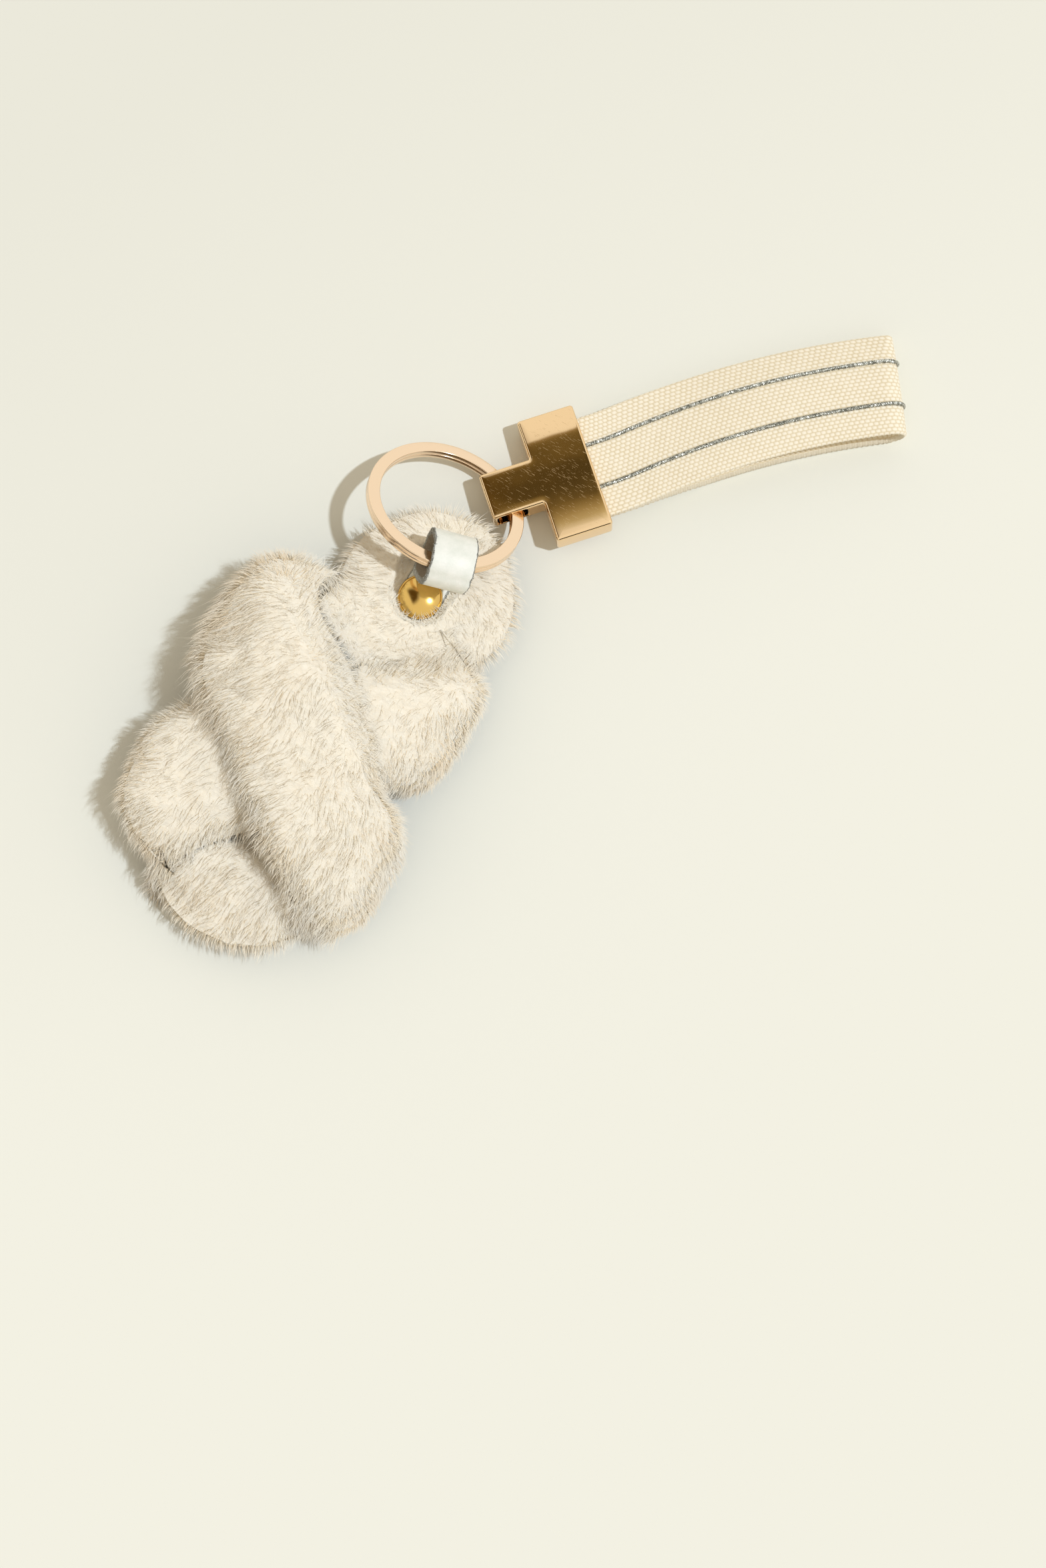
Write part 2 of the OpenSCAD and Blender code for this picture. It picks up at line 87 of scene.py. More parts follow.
# Image points, in the photograph's frame scaled to 1046 x 1568: place, pieces that show it, and its direction
POINT_FRAME = (1046, 1568)
POINTS = {
    "wool_left_x": ((103, None), ("under_strap_",), (-1, 0)),
    "webbing_right_x": ((907, None), ("webbing_",), (1, 0)),
    "webbing_top_y": ((None, 335), ("webbing_",), (0, -1)),
    "toe_bottom_y": ((None, 968), ("footbed_", "outsole"), (0, 1)),
    "heel_top_y": ((None, 497), ("footbed_",), (0, -1)),
    "cap_left_x": ((398, None), ("rivet_dome",), (-1, 0)),
    "cap_bottom_y": ((None, 620), ("rivet_dome",), (0, 1)),
    "ring_left_x": ((366, None), ("split_ring_",), (-1, 0)),
    "ring_top_y": ((None, 442), ("split_ring_",), (0, -1)),
    "clasp_top": ((570, 406), ("clasp_casting",), (0, -1)),
    "clasp_right": ((612, 528), ("clasp_casting",), (1, 0)),
    "clasp_neck_left": ((479, 479), ("clasp_casting",), (-1, 0)),
    "tab_right": ((479, 547), ("hang_tab_leather",), (1, 0)),
    "tab_top": ((433, 527), ("hang_tab_leather",), (0, -1)),
    "rim_hairs": ((422, 613), ("bowl_rim_hairs",), (0, 0)),
    "fold_bottom_y": ((None, 436), ("webbing_",), (0.9, 0.6)),
}


def image_ray(camera, x, y):
    """The camera's place and the direction of its ray through an image point."""
    wide, high = POINT_FRAME
    side = max(wide, high)
    data = camera.data
    way = Vector((x - wide / 2 + data.shift_x * side, high / 2 - y + data.shift_y * side,
                  -side * data.lens / data.sensor_width))
    return camera.matrix_world.translation, (camera.matrix_world.to_3x3() @ way).normalized()


def on_surface(camera, x, y, tree):
    """The place and the normal that a surface shows at an image point; a miss takes the nearest place."""
    start, way = image_ray(camera, x, y)
    place, normal, _, _ = tree.ray_cast(start, way)
    if place is None:
        place, normal, _, _ = tree.find_nearest(start + way * (-start.z / way.z))
    return place, normal


def check_points():
    """Finds, for each image point, the first of its pieces' finished vertices that shows: the one furthest its way,
    or the one nearest their middle.
    """
    camera = bpy.context.scene.camera
    graph = bpy.context.evaluated_depsgraph_get()
    view = np.array(camera.matrix_world.inverted())
    wide, high = POINT_FRAME
    eye = camera.matrix_world.translation
    for name, ((x, y), starts, way) in POINTS.items():
        places = []
        for made in bpy.context.scene.objects:
            if made.type == "MESH" and made.name.startswith(starts) and not made.hide_render:
                own = np.empty(len(made.data.vertices) * 3, np.float32)
                made.data.vertices.foreach_get("co", own)
                matrix = np.array(made.matrix_world)
                places.append(own.reshape(-1, 3) @ matrix[:3, :3].T + matrix[:3, 3])
        places = np.concatenate(places)
        near = places @ view[:3, :3].T + view[:3, 3]
        scale = max(wide, high) * camera.data.lens / camera.data.sensor_width / -near[:, 2]
        seen = np.stack([wide / 2 + near[:, 0] * scale, high / 2 - near[:, 1] * scale], 1)
        rank = -(seen @ np.array(way)) if any(way) else np.linalg.norm(seen - seen.mean(0), axis=1)
        for i in np.argsort(rank)[:400]:
            to = Vector(places[i]) - eye
            hit, place, *_ = bpy.context.scene.ray_cast(graph, eye, to.normalized())
            if not hit or (place - eye).length > to.length - 0.0004:
                break


# ---------- colours and nodes ----------

def linear(code, alpha=1.0):
    """An sRGB hex colour as the linear numbers that a shader takes."""
    parts = [int(code[i:i + 2], 16) / 255 for i in (1, 3, 5)]
    return (*[c / 12.92 if c <= 0.04045 else ((c + 0.055) / 1.055) ** 2.4 for c in parts], alpha)


def add(tree, kind, sockets=None, **settings):
    """One node with its settings; sockets takes values or the outputs to link."""
    made = tree.nodes.new(kind)
    for key, value in settings.items():
        setattr(made, key, value)
    for key, value in (sockets or {}).items():
        if isinstance(value, bpy.types.NodeSocket):
            tree.links.new(value, made.inputs[key])
        else:
            made.inputs[key].default_value = value
    return made


def ramp(tree, factor, stops):
    """A colour ramp with (place, hex colour) stops."""
    made = add(tree, "ShaderNodeValToRGB", {"Fac": factor})
    line = made.color_ramp.elements
    while len(line) < len(stops):
        line.new(0.5)
    for stop, (place, code) in zip(line, stops):
        stop.position = place
        stop.color = linear(code)
    return made.outputs["Color"]


def shader(name, **sockets):
    """A new material with one Principled shader, its plain numbers set on the shader's own sockets."""
    material = bpy.data.materials.new(name)
    material.use_nodes = True
    tree = material.node_tree
    body = next(n for n in tree.nodes if n.type == "BSDF_PRINCIPLED")
    for key, value in sockets.items():
        body.inputs[key.replace("_", " ")].default_value = value
    return material, tree, body


def place_in_mm(tree):
    """Object coordinates in millimetres."""
    coordinates = add(tree, "ShaderNodeTexCoord")
    return add(tree, "ShaderNodeVectorMath", {0: coordinates.outputs["Object"], 1: (1000, 1000, 1000)},
               operation="MULTIPLY").outputs[0]


def noise(tree, place, size_mm, detail=2.0, roughness=0.5, distortion=0.0):
    """Noise whose lumps are about size_mm across."""
    return add(tree, "ShaderNodeTexNoise", {"Vector": place, "Scale": 1 / size_mm, "Detail": detail,
                                            "Roughness": roughness, "Distortion": distortion}).outputs["Fac"]


def arithmetic(tree, operation, *values):
    """The result of one Math node on numbers and outputs."""
    return add(tree, "ShaderNodeMath", dict(enumerate(values)), operation=operation).outputs[0]


def paint(tree, body, factor, stops):
    """A base colour that runs through (place, hex colour) stops with a factor."""
    tree.links.new(ramp(tree, factor, stops), body.inputs["Base Color"])


def relief(tree, body, height, depth_mm, strength=1.0):
    """Bump of a real depth."""
    made = add(tree, "ShaderNodeBump", {"Height": height, "Distance": depth_mm * MM, "Strength": strength})
    tree.links.new(made.outputs["Normal"], body.inputs["Normal"])


def span(tree, value, low, high, to_low=0.0, to_high=1.0):
    """value mapped from low..high to to_low..to_high, held at both ends."""
    return add(tree, "ShaderNodeMapRange", {"Value": value, "From Min": low, "From Max": high,
                                            "To Min": to_low, "To Max": to_high}).outputs["Result"]


# ---------- meshes ----------

def piece(name, points, faces, materials, rides, replaced=(), slots_of_faces=None):
    """A mesh piece from points in millimetres, riding on a body and standing for CAD nodes."""
    mesh = bpy.data.meshes.new(name)
    places = [tuple(p) for p in np.asarray(points, float) * MM]
    mesh.from_pydata(places, [], [tuple(int(i) for i in f) for f in faces])
    return finish_piece(name, mesh, materials, rides, replaced, slots_of_faces)


def finish_piece(name, mesh, materials, rides, replaced=(), slots_of_faces=None):
    """A smooth-shaded object of a finished mesh, with its materials, its body, its CAD nodes and its slot."""
    for material in materials:
        mesh.materials.append(material)
    if slots_of_faces is not None:
        mesh.polygons.foreach_set("material_index", np.asarray(slots_of_faces, np.int32))
    mesh.polygons.foreach_set("use_smooth", np.ones(len(mesh.polygons), bool))
    mesh.update()
    made = bpy.data.objects.new(name, mesh)
    bpy.context.scene.collection.objects.link(made)
    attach(made, rides)
    if replaced:
        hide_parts(*replaced)
    return made


def quads(rows, columns, close_rows=False, close_columns=False):
    """Faces of a grid of rows x columns points, as an array of four indices."""
    r = np.arange(rows if close_rows else rows - 1)
    c = np.arange(columns if close_columns else columns - 1)
    r, c = np.meshgrid(r, c, indexing="ij")
    r, c = r.ravel(), c.ravel()
    r2, c2 = (r + 1) % rows, (c + 1) % columns
    return np.stack([r * columns + c, r2 * columns + c, r2 * columns + c2, r * columns + c2], 1)


def grid_normals(grid, close_columns=True):
    """Unit normals of a grid of points, rows x columns x 3."""
    down = np.gradient(grid, axis=0)
    if close_columns:
        across = (np.roll(grid, -1, 1) - np.roll(grid, 1, 1)) / 2
    else:
        across = np.gradient(grid, axis=1)
    return unit(np.cross(across, down))


def sharpen(made, degrees):
    """Marks the edges sharper than this angle, so that the rest shades smooth."""
    mesh = made.data
    work = bmesh.new()
    work.from_mesh(mesh)
    for edge in work.edges:
        edge.smooth = not (len(edge.link_faces) == 2 and edge.calc_face_angle(0) > math.radians(degrees))
    work.to_mesh(mesh)
    work.free()


def lathe(profile, centre, steps):
    """Points and faces of a closed profile of (radius, height) turned about an upright axis."""
    turn = np.linspace(0, 2 * np.pi, steps, endpoint=False)
    profile = np.array(profile, float)
    radius, height = profile[:, :1], profile[:, 1:]
    points = np.stack([centre[0] + radius * np.cos(turn), centre[1] + radius * np.sin(turn),
                       np.broadcast_to(height, (len(profile), steps))], -1)
    return points.reshape(-1, 3), quads(len(profile), steps, close_columns=True)


def lathed_solid(profile, centre, steps):
    """A turned profile with its two ends filled."""
    points, faces = lathe(profile, centre, steps)
    last = (len(profile) - 1) * steps
    ends = [tuple(range(steps)), tuple(range(last, last + steps))[::-1]]
    return points, [tuple(f)[::-1] for f in faces] + ends


def mixed(a, b, c, d, u, v):
    """A value between four corners of a cell: u runs from a to b and from c to d, v from a to c."""
    return (1 - u) * (1 - v) * a + u * (1 - v) * b + (1 - u) * v * c + u * v * d


_lattices = {}


def drift(points, cell, seed, channels=3):
    """Smooth noise from -1 to 1 at points in millimetres, its lumps about cell across."""
    if (seed, channels) not in _lattices:
        _lattices[seed, channels] = np.random.default_rng(seed).uniform(-1, 1, (32, 32, 32, channels))
    lattice = _lattices[seed, channels]
    at = np.asarray(points, float) / cell + 1000.37
    base = np.floor(at).astype(int)
    part = at - base
    part = part * part * (3 - 2 * part)
    total = 0
    for corner in np.ndindex(2, 2, 2):
        weight = np.prod([part[..., i] if corner[i] else 1 - part[..., i] for i in range(3)], axis=0)
        index = [(base[..., i] + corner[i]) % 32 for i in range(3)]
        total = total + weight[..., None] * lattice[index[0], index[1], index[2]]
    return total * 1.6


def unit(vectors):
    """Vectors at length 1."""
    return vectors / np.maximum(np.linalg.norm(vectors, axis=-1, keepdims=True), 1e-9)


def smooth(value, low, high):
    """0 below low, 1 above high, and smooth between."""
    f = np.clip((value - low) / (high - low), 0, 1)
    return f * f * (3 - 2 * f)


def bell(value, centre, width):
    """1 at the centre, falling off over the width."""
    return np.exp(-((value - centre) / width) ** 2)


# ---------- sheepskin ----------

# Sizes in millimetres, as in the part's source
HEEL_R, BALL_R, HEEL_Y, BALL_Y, WAIST_HALF = 16.5, 18.5, 34.5, 33.0, 14.5
PILE_Z = 5.3
BOWL_Z = 7.4
HIDE_T = 1.1
BOARD_INSET = 1.9
STRAP_HALF_W = 12.75
STRAP_HALF_SPAN, STRAP_BELLY_Z, STRAP_LEAN, STRAP_SKEW, CROSS_Y = 24.0, 12.0, 4.5, 18.4, -9.0
FOOT_SHARE = 0.16
OUTSOLE_T = 3.0
RIVET = np.array([0.0, 34.0])
TAB_END = np.array([0.0, 41.0])
# The wool is combed towards the toe
COMB = unit(np.array([0.18, -0.95, -0.20]))
# Along the straps' back edges it lies towards the heel
BACK_COMB = unit(np.array([0.3, 0.95, -0.1]))
STRANDS_PER_PIECE = 19000
# Share of strands that are longer and thinner than the rest, how close to the floor wool may hang, and how far
# its normals lean up
WISP_SHARE = 0.10
STRAND_FLOOR = 0.15
WOOL_LEAN = 3.0
FLEECE_MAP = "OFBake"


def wool_materials():
    """Sheared sheep's wool, washed and combed: matt crimped fibres, with painted shade that makes them warmer and
    darker towards the hide.
    """
    settings = bpy.context.scene.charm_wool
    if "sheared_wool_fibres" in bpy.data.materials:
        return bpy.data.materials["sheared_wool_fibres"], bpy.data.materials["dense_wool_undercoat"]
    # Each strand has its own place across the map, from warm to pale, and runs up it from root to tip
    fibres, tree, body = shader("sheared_wool_fibres", Roughness=0.85, Specular_IOR_Level=0.2,
                                Sheen_Weight=0.35, Sheen_Roughness=0.5)
    fleece_map = add(tree, "ShaderNodeUVMap", uv_map=FLEECE_MAP)
    across = add(tree, "ShaderNodeSeparateXYZ", {0: fleece_map.outputs[0]})
    shade = ramp(tree, across.outputs["X"], [(0.0, settings.warm), (0.5, settings.cream), (1.0, settings.pale)])
    # Painted shade: towards its root each strand is darkened by the root shade colour, as the strands above it shade
    # it
    depth = ramp(tree, across.outputs["Y"], [(0.0, settings.root_shade), (0.55, "#FFFFFF")])
    both = add(tree, "ShaderNodeMix", {"Factor": 1.0, 6: shade, 7: depth}, data_type="RGBA",
               blend_type="MULTIPLY")
    tree.links.new(both.outputs[2], body.inputs["Base Color"])
    # Packed fibres below the strands: fine hairs that run with the comb and wander, 0.15 mm across
    undercoat, tree, body = shader("dense_wool_undercoat", Roughness=0.95, Specular_IOR_Level=0.1)
    place = place_in_mm(tree)
    wander = add(tree, "ShaderNodeTexNoise", {"Vector": place, "Scale": 0.45, "Detail": 2.0}).outputs["Color"]
    bent = add(tree, "ShaderNodeVectorMath", {0: wander, 1: (3.0, 3.0, 3.0), 2: place}, operation="MULTIPLY_ADD")
    turned = add(tree, "ShaderNodeMapping", {"Vector": bent.outputs[0],
                                             "Rotation": (0, 0, -math.atan2(COMB[1], COMB[0])),
                                             "Scale": (0.55, 6.0, 2.4)})
    hairs = add(tree, "ShaderNodeTexNoise", {"Vector": turned.outputs[0], "Scale": 1.0, "Detail": 3.0,
                                             "Roughness": 0.6}).outputs["Fac"]
    staples = noise(tree, place, 2.2, 3)
    # Painted shade in the grooves between the fibres, darker where their bump is low, with a random darker tone
    # between staples
    painted_shade_and_tone = arithmetic(tree, "MULTIPLY_ADD", hairs, 0.6, arithmetic(tree, "MULTIPLY", staples, 0.4))
    paint(tree, body, painted_shade_and_tone, [(0.36, settings.undercoat_dark), (0.58, settings.undercoat)])
    relief(tree, body, hairs, 0.13)
    return fibres, undercoat


def strands_mesh(name, root, middle, tip, width, tint, lit):
    """Closed three-sided spikes, each bent once, with the map that their material reads. Thin fibres scatter
    light like the surface that they make up, so their normals lean towards its own, lit."""
    count = len(root)
    axis = unit(middle - root)
    side = unit(np.cross(axis, UP + np.random.default_rng(count).normal(size=(count, 3)) * 0.25))
    up = np.cross(axis, side)
    points, normals = np.empty((2, count, 7, 3))
    for j in range(3):
        turn = math.pi * (0, 1, 1.5)[j]
        spoke = math.cos(turn) * side + math.sin(turn) * up * 0.7
        points[:, j] = root + spoke * width[:, None] / 2
        points[:, 3 + j] = middle + spoke * width[:, None] * 0.40
        normals[:, j] = normals[:, 3 + j] = unit(lit + spoke * 0.25)
    points[:, 6], normals[:, 6] = tip, lit
    # Corners of three quads up to the bend, three triangles to the tip and one at the root, and where each starts
    pattern = np.array([0, 1, 4, 3, 1, 2, 5, 4, 2, 0, 3, 5, 3, 4, 6, 4, 5, 6, 5, 3, 6, 0, 2, 1])
    starts = np.array([0, 4, 8, 12, 15, 18, 21])
    mesh = bpy.data.meshes.new(name)
    mesh.vertices.add(count * 7)
    mesh.vertices.foreach_set("co", (points * MM).astype(np.float32).ravel())
    mesh.loops.add(count * 24)
    corners = (np.arange(count)[:, None] * 7 + pattern).ravel()
    mesh.loops.foreach_set("vertex_index", corners.astype(np.int32))
    mesh.polygons.add(count * 7)
    mesh.polygons.foreach_set("loop_start", (np.arange(count)[:, None] * 24 + starts).ravel().astype(np.int32))
    mesh.update(calc_edges=True)
    fleece_map = np.empty((count, 7, 2))
    fleece_map[:, :, 0] = tint[:, None] + np.array([-4, 0, 4, -4, 0, 4, 0]) * 0.001
    fleece_map[:, :, 1] = [0.01, 0.01, 0.01, 0.5, 0.5, 0.5, 0.99]
    layer = mesh.uv_layers.new(name=FLEECE_MAP)
    layer.uv.foreach_set("vector", fleece_map.reshape(-1, 2)[corners].astype(np.float32).ravel())
    mesh.polygons.foreach_set("use_smooth", np.ones(count * 7, bool))
    mesh.normals_split_custom_set_from_vertices(normals.reshape(-1, 3))
    return mesh


def soft_light(normals):
    """Normals of deep wool, which lean up: light that enters it from above comes out of its sides too."""
    return unit(normals + UP * WOOL_LEAN)


def soften(made):
    """Gives a wool piece the normals of deep wool."""
    count = len(made.data.vertices)
    own = np.empty(count * 3, np.float32)
    made.data.vertices.foreach_get("normal", own)
    made.data.normals_split_custom_set_from_vertices(soft_light(own.reshape(-1, 3)))


def scatter(grid, share, count, seed):
    """count seeded places on a closed grid, thinner where share (rows x columns) is low: places and normals."""
    rng = np.random.default_rng(seed)
    rows, columns = grid.shape[:2]
    corners = quads(rows, columns, close_columns=True)
    flat, shares = grid.reshape(-1, 3), share.ravel()
    normals = grid_normals(grid).reshape(-1, 3)
    a, b, c, d = (flat[corners[:, i]] for i in range(4))
    area = np.linalg.norm(np.cross(c - a, d - b), axis=1) / 2
    # Dense where the wool is seen from its side, sparse over the packed fibres where it is seen from above
    steep = 0.45 + 0.55 * smooth(0.4 - normals[corners, 2].mean(1), 0, 0.45)
    weight = area * shares[corners].mean(1) * steep
    chosen = rng.choice(len(corners), size=count, p=weight / weight.sum())
    u, v = rng.random((2, count, 1))
    around = [corners[chosen, i] for i in (0, 1, 3, 2)]
    place, normal = (mixed(*(values[i] for i in around), u, v) for values in (flat, normals))
    return place, unit(normal)


def grow(name, grid, share, count, length, seed, stand=0.8, comb=0.5, droop=0.10, length_of=None, pale=0.0,
         width=0.10, comb_of=None, gather=0.55):
    """Wool on a grid surface: dense short strands in tufts, combed one way, with a few long wisps."""
    fibres = wool_materials()[0]
    settings = bpy.context.scene.charm_wool
    count = int(count * settings.density)
    rng = np.random.default_rng(seed + 1)
    root, normal = scatter(grid, share, count, seed)
    combed = np.broadcast_to(COMB, root.shape) if comb_of is None else comb_of(root)
    combed = combed - normal * (combed * normal).sum(1, keepdims=True)
    wild = (drift(root, 4.5, seed + 2) * 0.22 + drift(root, 1.7, seed + 3) * 0.16
            + rng.normal(size=root.shape) * 0.085)
    way = unit(normal * stand + combed * comb + wild)
    size = length * (1 + 0.16 * drift(root, 5.0, seed + 4, 1)[:, 0] + rng.normal(size=count) * 0.13)
    wisp = rng.random(count) < WISP_SHARE
    size = np.where(wisp, size * 1.4, size) * settings.length
    if length_of is not None:
        size = size * length_of(root)
    # Tips of one tuft lean towards each other
    gathered = drift(root, settings.tuft_mm / 1.6, seed + 5) * gather
    gathered = gathered - way * (gathered * way).sum(1, keepdims=True)
    fall = np.array([0, 0, -droop])
    middle = root + way * size[:, None] * 0.5 + gathered * 0.22
    tip = root + unit(way + combed * 0.28 + fall) * size[:, None] + gathered
    for place in (middle, tip):
        place[:, 2] = np.maximum(place[:, 2], STRAND_FLOOR)
    thick = width * (1 + 0.2 * rng.normal(size=count).clip(-2, 2)) * np.where(wisp, 0.7, 1)
    tint = 0.5 + pale + 0.20 * drift(root, 9.0, 77, 1)[:, 0] + 0.10 * drift(root, 2.2, 78, 1)[:, 0]
    tint = (tint + rng.normal(size=count) * 0.10).clip(0.02, 0.98)
    parts = max(1, math.ceil(count / STRANDS_PER_PIECE))
    for i in range(parts):
        some = slice(i, None, parts)
        part_name = f"{name}_{i + 1}"
        mesh = strands_mesh(part_name, root[some], middle[some], tip[some], thick[some], tint[some],
                            soft_light(normal[some]))
        finish_piece(part_name, mesh, [fibres], "slipper")


# ----- footbed

def sole_side(y):
    """Half width of the sole at a place along it, between the centres of its two ends."""
    along = (HEEL_Y - y) / (HEEL_Y + BALL_Y)
    half = HEEL_R + (BALL_R - HEEL_R) * along
    return half - (half - WAIST_HALF) * np.sin(np.pi * along) ** 2


def sole_rays(steps=120):
    """Spine points, outward directions and rim distances round the sole, starting at the heel's right."""
    spine, way, reach = [], [], []
    for a in np.linspace(0, np.pi, steps, endpoint=False):
        spine.append((0, HEEL_Y)), way.append((math.cos(a), math.sin(a))), reach.append(HEEL_R)
    for y in np.linspace(HEEL_Y, -BALL_Y, steps, endpoint=False):
        spine.append((0, y)), way.append((-1, 0)), reach.append(sole_side(y))
    for a in np.linspace(np.pi, 2 * np.pi, steps, endpoint=False):
        spine.append((0, -BALL_Y)), way.append((math.cos(a), math.sin(a))), reach.append(BALL_R)
    for y in np.linspace(-BALL_Y, HEEL_Y, steps, endpoint=False):
        spine.append((0, y)), way.append((1, 0)), reach.append(sole_side(y))
    return np.array(spine, float), np.array(way, float), np.array(reach, float)


def segment_distance(xy, a, b):
    """Distance from points to a segment in plan."""
    ab = b - a
    t = np.clip(((xy - a) @ ab) / (ab @ ab), 0, 1)
    return np.linalg.norm(xy - (a + t[..., None] * ab), axis=-1)


def bowl_depth(xy):
    """1 inside the shallow hollow that the rivet and the tab press into the heel's wool, 0 outside it."""
    strip = segment_distance(xy, RIVET, TAB_END)
    patch = np.linalg.norm(xy - np.array([-3.2, 39.0]), axis=-1)
    return np.maximum(1 - smooth(strip, 5.3, 7.4), 1 - smooth(patch, 3.2, 6.4))


def footbed_grid():
    """Undercoat of the footbed, from its flat underside over the rim to the middle."""
    spine, way, reach = sole_rays()
    squeezed = 1 / (1 + ((spine[:, 1] - CROSS_Y) / 37.6) ** 16)
    # How far past the sole's rim, and how high
    profile = [(-7.0, PILE_Z + 0.02), (-BOARD_INSET, PILE_Z + 0.02), (-0.6, PILE_Z + 0.05), (1.0, 5.75),
               (2.0, 6.6), (2.3, 7.5), (2.0, 8.4), (1.2, 9.1), (0.0, 9.6), (-1.6, 9.85), (-3.4, 9.95)]
    rows = [np.array(p) for p in profile]
    rows = [r + (s - r) * f for r, s in zip(rows, rows[1:]) for f in (0, 0.5)] + [rows[-1]]
    # Wool past the rim: longest at the toe's left, longer at the heel's right, and a lobe on the waist's left
    toe, heel = smooth(-spine[:, 1], 18, 33), smooth(spine[:, 1], 18, 32)
    longer = toe * np.clip(5.2 - 3.4 * way[:, 0], 0.8, 7.6)
    longer += heel * (0.3 + 2.2 * np.maximum(0, way @ np.array(IMAGE_RIGHT[:2])))
    longer += 2.5 * (way[:, 0] < -0.9) * bell(spine[:, 1], 22, 6)
    outs = [reach + past - squeezed * max(0, past + 2.5) + longer * smooth(past, -2, 1.5) for past, _ in rows]
    # Rings further in, so that the hollow round the rivet has points to bend
    outs += [(reach + rows[-1][0]) * f for f in np.linspace(0.94, 0.0, 27)]
    heights = [z for _, z in rows] + [rows[-1][1]] * 27
    grid = np.array([np.c_[spine + way * out[:, None], np.full(len(spine), z)]
                     for out, z in zip(outs, heights)])
    high = smooth(grid[..., 2], PILE_Z + 1, 9)
    to_middle = np.linalg.norm(grid - grid[-1], axis=-1)
    inset = to_middle[12] - to_middle
    grid[..., 2] += (3.6 * smooth(inset, 0, 9) + 0.2) * toe * high
    # The wool swells where it meets the straps behind, and in the middle of the toe before them
    x, y = grid[..., 0], grid[..., 1]
    grid[..., 2] += high * (4.5 * bell(y, 18.5, 5.5) + 3.0 * bell(x, 5, 9) * bell(y, -39, 8)
                            + 5.0 * bell(x, -15, 6) * bell(y, 22, 6))
    bowl = bowl_depth(grid[..., :2])
    top = grid[..., 2] > 8.5
    crest = 0.9 * bell(bowl, 0.25, 0.22) * (bowl > 0.01)
    grid[..., 2] += np.where(top, crest, 0)
    pit = 1 - smooth(segment_distance(grid[..., :2], RIVET, TAB_END), 4.5, 4.8)
    sunk = (grid[..., 2] * (1 - bowl) + BOWL_Z * bowl) * (1 - pit) + (PILE_Z + 0.04) * pit
    grid[..., 2] = np.where(top, sunk, grid[..., 2])
    lumps = drift(grid, 6.0, 11, 1)[..., 0] * 0.55 + drift(grid, 2.0, 12, 1)[..., 0] * 0.22
    lumps = lumps * np.where(grid[..., 2] > PILE_Z + 0.3, 1, 0) * (1 - 0.9 * bowl)
    way = grid_normals(grid)
    way[-1] = UP
    grid += way * lumps[..., None]
    return grid


# ----- straps

def arch(t, rise):
    """A strap's inner line across the sole: t runs from its right end, 0, to its left end, 1."""
    t = np.asarray(t, float)
    a = np.pi * np.clip((t - FOOT_SHARE) / (1 - 2 * FOOT_SHARE), 0, 1)
    x, z = STRAP_HALF_SPAN * np.cos(a), STRAP_BELLY_Z + rise * np.sin(a) ** 0.8
    for side, f in ((1, t / FOOT_SHARE), (-1, (1 - t) / FOOT_SHARE)):
        steepest = math.radians(80)
        b = steepest * (1 - np.clip(f, 0, 1))
        foot = STRAP_HALF_SPAN - (STRAP_HALF_SPAN - HEEL_R - 1) * (1 - np.cos(b)) / (1 - math.cos(steepest))
        low = STRAP_BELLY_Z - (STRAP_BELLY_Z - OUTSOLE_T - 0.1) * np.sin(b) / math.sin(steepest)
        x, z = np.where(f < 1, side * foot, x), np.where(f < 1, low, z)
    x = x - STRAP_LEAN * np.minimum(1, (z - OUTSOLE_T) / (STRAP_BELLY_Z - OUTSOLE_T))
    return np.stack([x, z], -1)


def arch_out(t, rise):
    """Outward direction of the arch, never pointing far below level."""
    d = arch(np.asarray(t) + 0.01, rise) - arch(np.asarray(t) - 0.01, rise)
    size = np.linalg.norm(d, axis=-1)
    out = np.stack([d[..., 1], np.maximum(-d[..., 0], -0.2 * size)], -1)
    return unit(out)


def strap_middle(t, way):
    """Where a strap's middle lies along the sole; way is 1 if its left end is nearer the heel."""
    return CROSS_Y - way * STRAP_SKEW * np.cos(np.pi * np.clip((t - FOOT_SHARE) / (1 - 2 * FOOT_SHARE), 0, 1))


# The shaded hollow between the two straps and the toe, in plan
HOLLOW = np.array([[-5.4, -31.1], [6.2, -36.7]])

# rise is the height of a strap's arch, and way is 1 if its left end is nearer the heel. corners is how far its
# corners round off: right end back, right end front, left end back, left end front. reach is how far its pile goes
# before the hide in the middle and on the left, back and back_left how far behind it all along and on the left.
# pressed is the share of its height lost under the other strap, thin_right at its right end. From locks on along
# its length, loose locks hang over its front edge; up to joins, wool lies over its back edge. strands and seed are
# its pile's.
STRAPS = {
    "under_strap": dict(rise=7.2, way=-1, corners=(4.0, 8.0, 3.0, 10.5), reach=(5.5, 12.8), back=3.0, back_left=0.0,
                        pressed=0.4, thin_right=0.45, locks=0.45, joins=0.5, strands=10000, seed=200),
    "over_strap": dict(rise=14.6, way=1, corners=(4.5, 16.5, 6.0, 1.0), reach=(3.5, 2.0), back=4.0, back_left=5.0,
                       pressed=0.0, thin_right=0.15, locks=0.0, joins=0.86, strands=14500, seed=300),
}
# Columns of a strap's grid: its pile's top, the front edge and the back edge
TOP_COLUMNS, FRONT_COLUMNS, BACK_COLUMNS = slice(0, 61), slice(0, 16), slice(45, 60)


def strap_length(name, p):
    """How long a strap's strands are, against the pile's: the upper strap's left lobe has the longest."""
    if name == "over_strap":
        return (1 + 0.6 * smooth(-p[:, 0], 14, 27) * smooth(20 - p[:, 1], 0, 8)
                - 0.3 * smooth(p[:, 0], 14, 24) * smooth(-p[:, 1], 12, 28))
    return 1 - 0.15 * smooth(-p[:, 0], 14, 27) - 0.2 * smooth(p[:, 0], 10, 20)


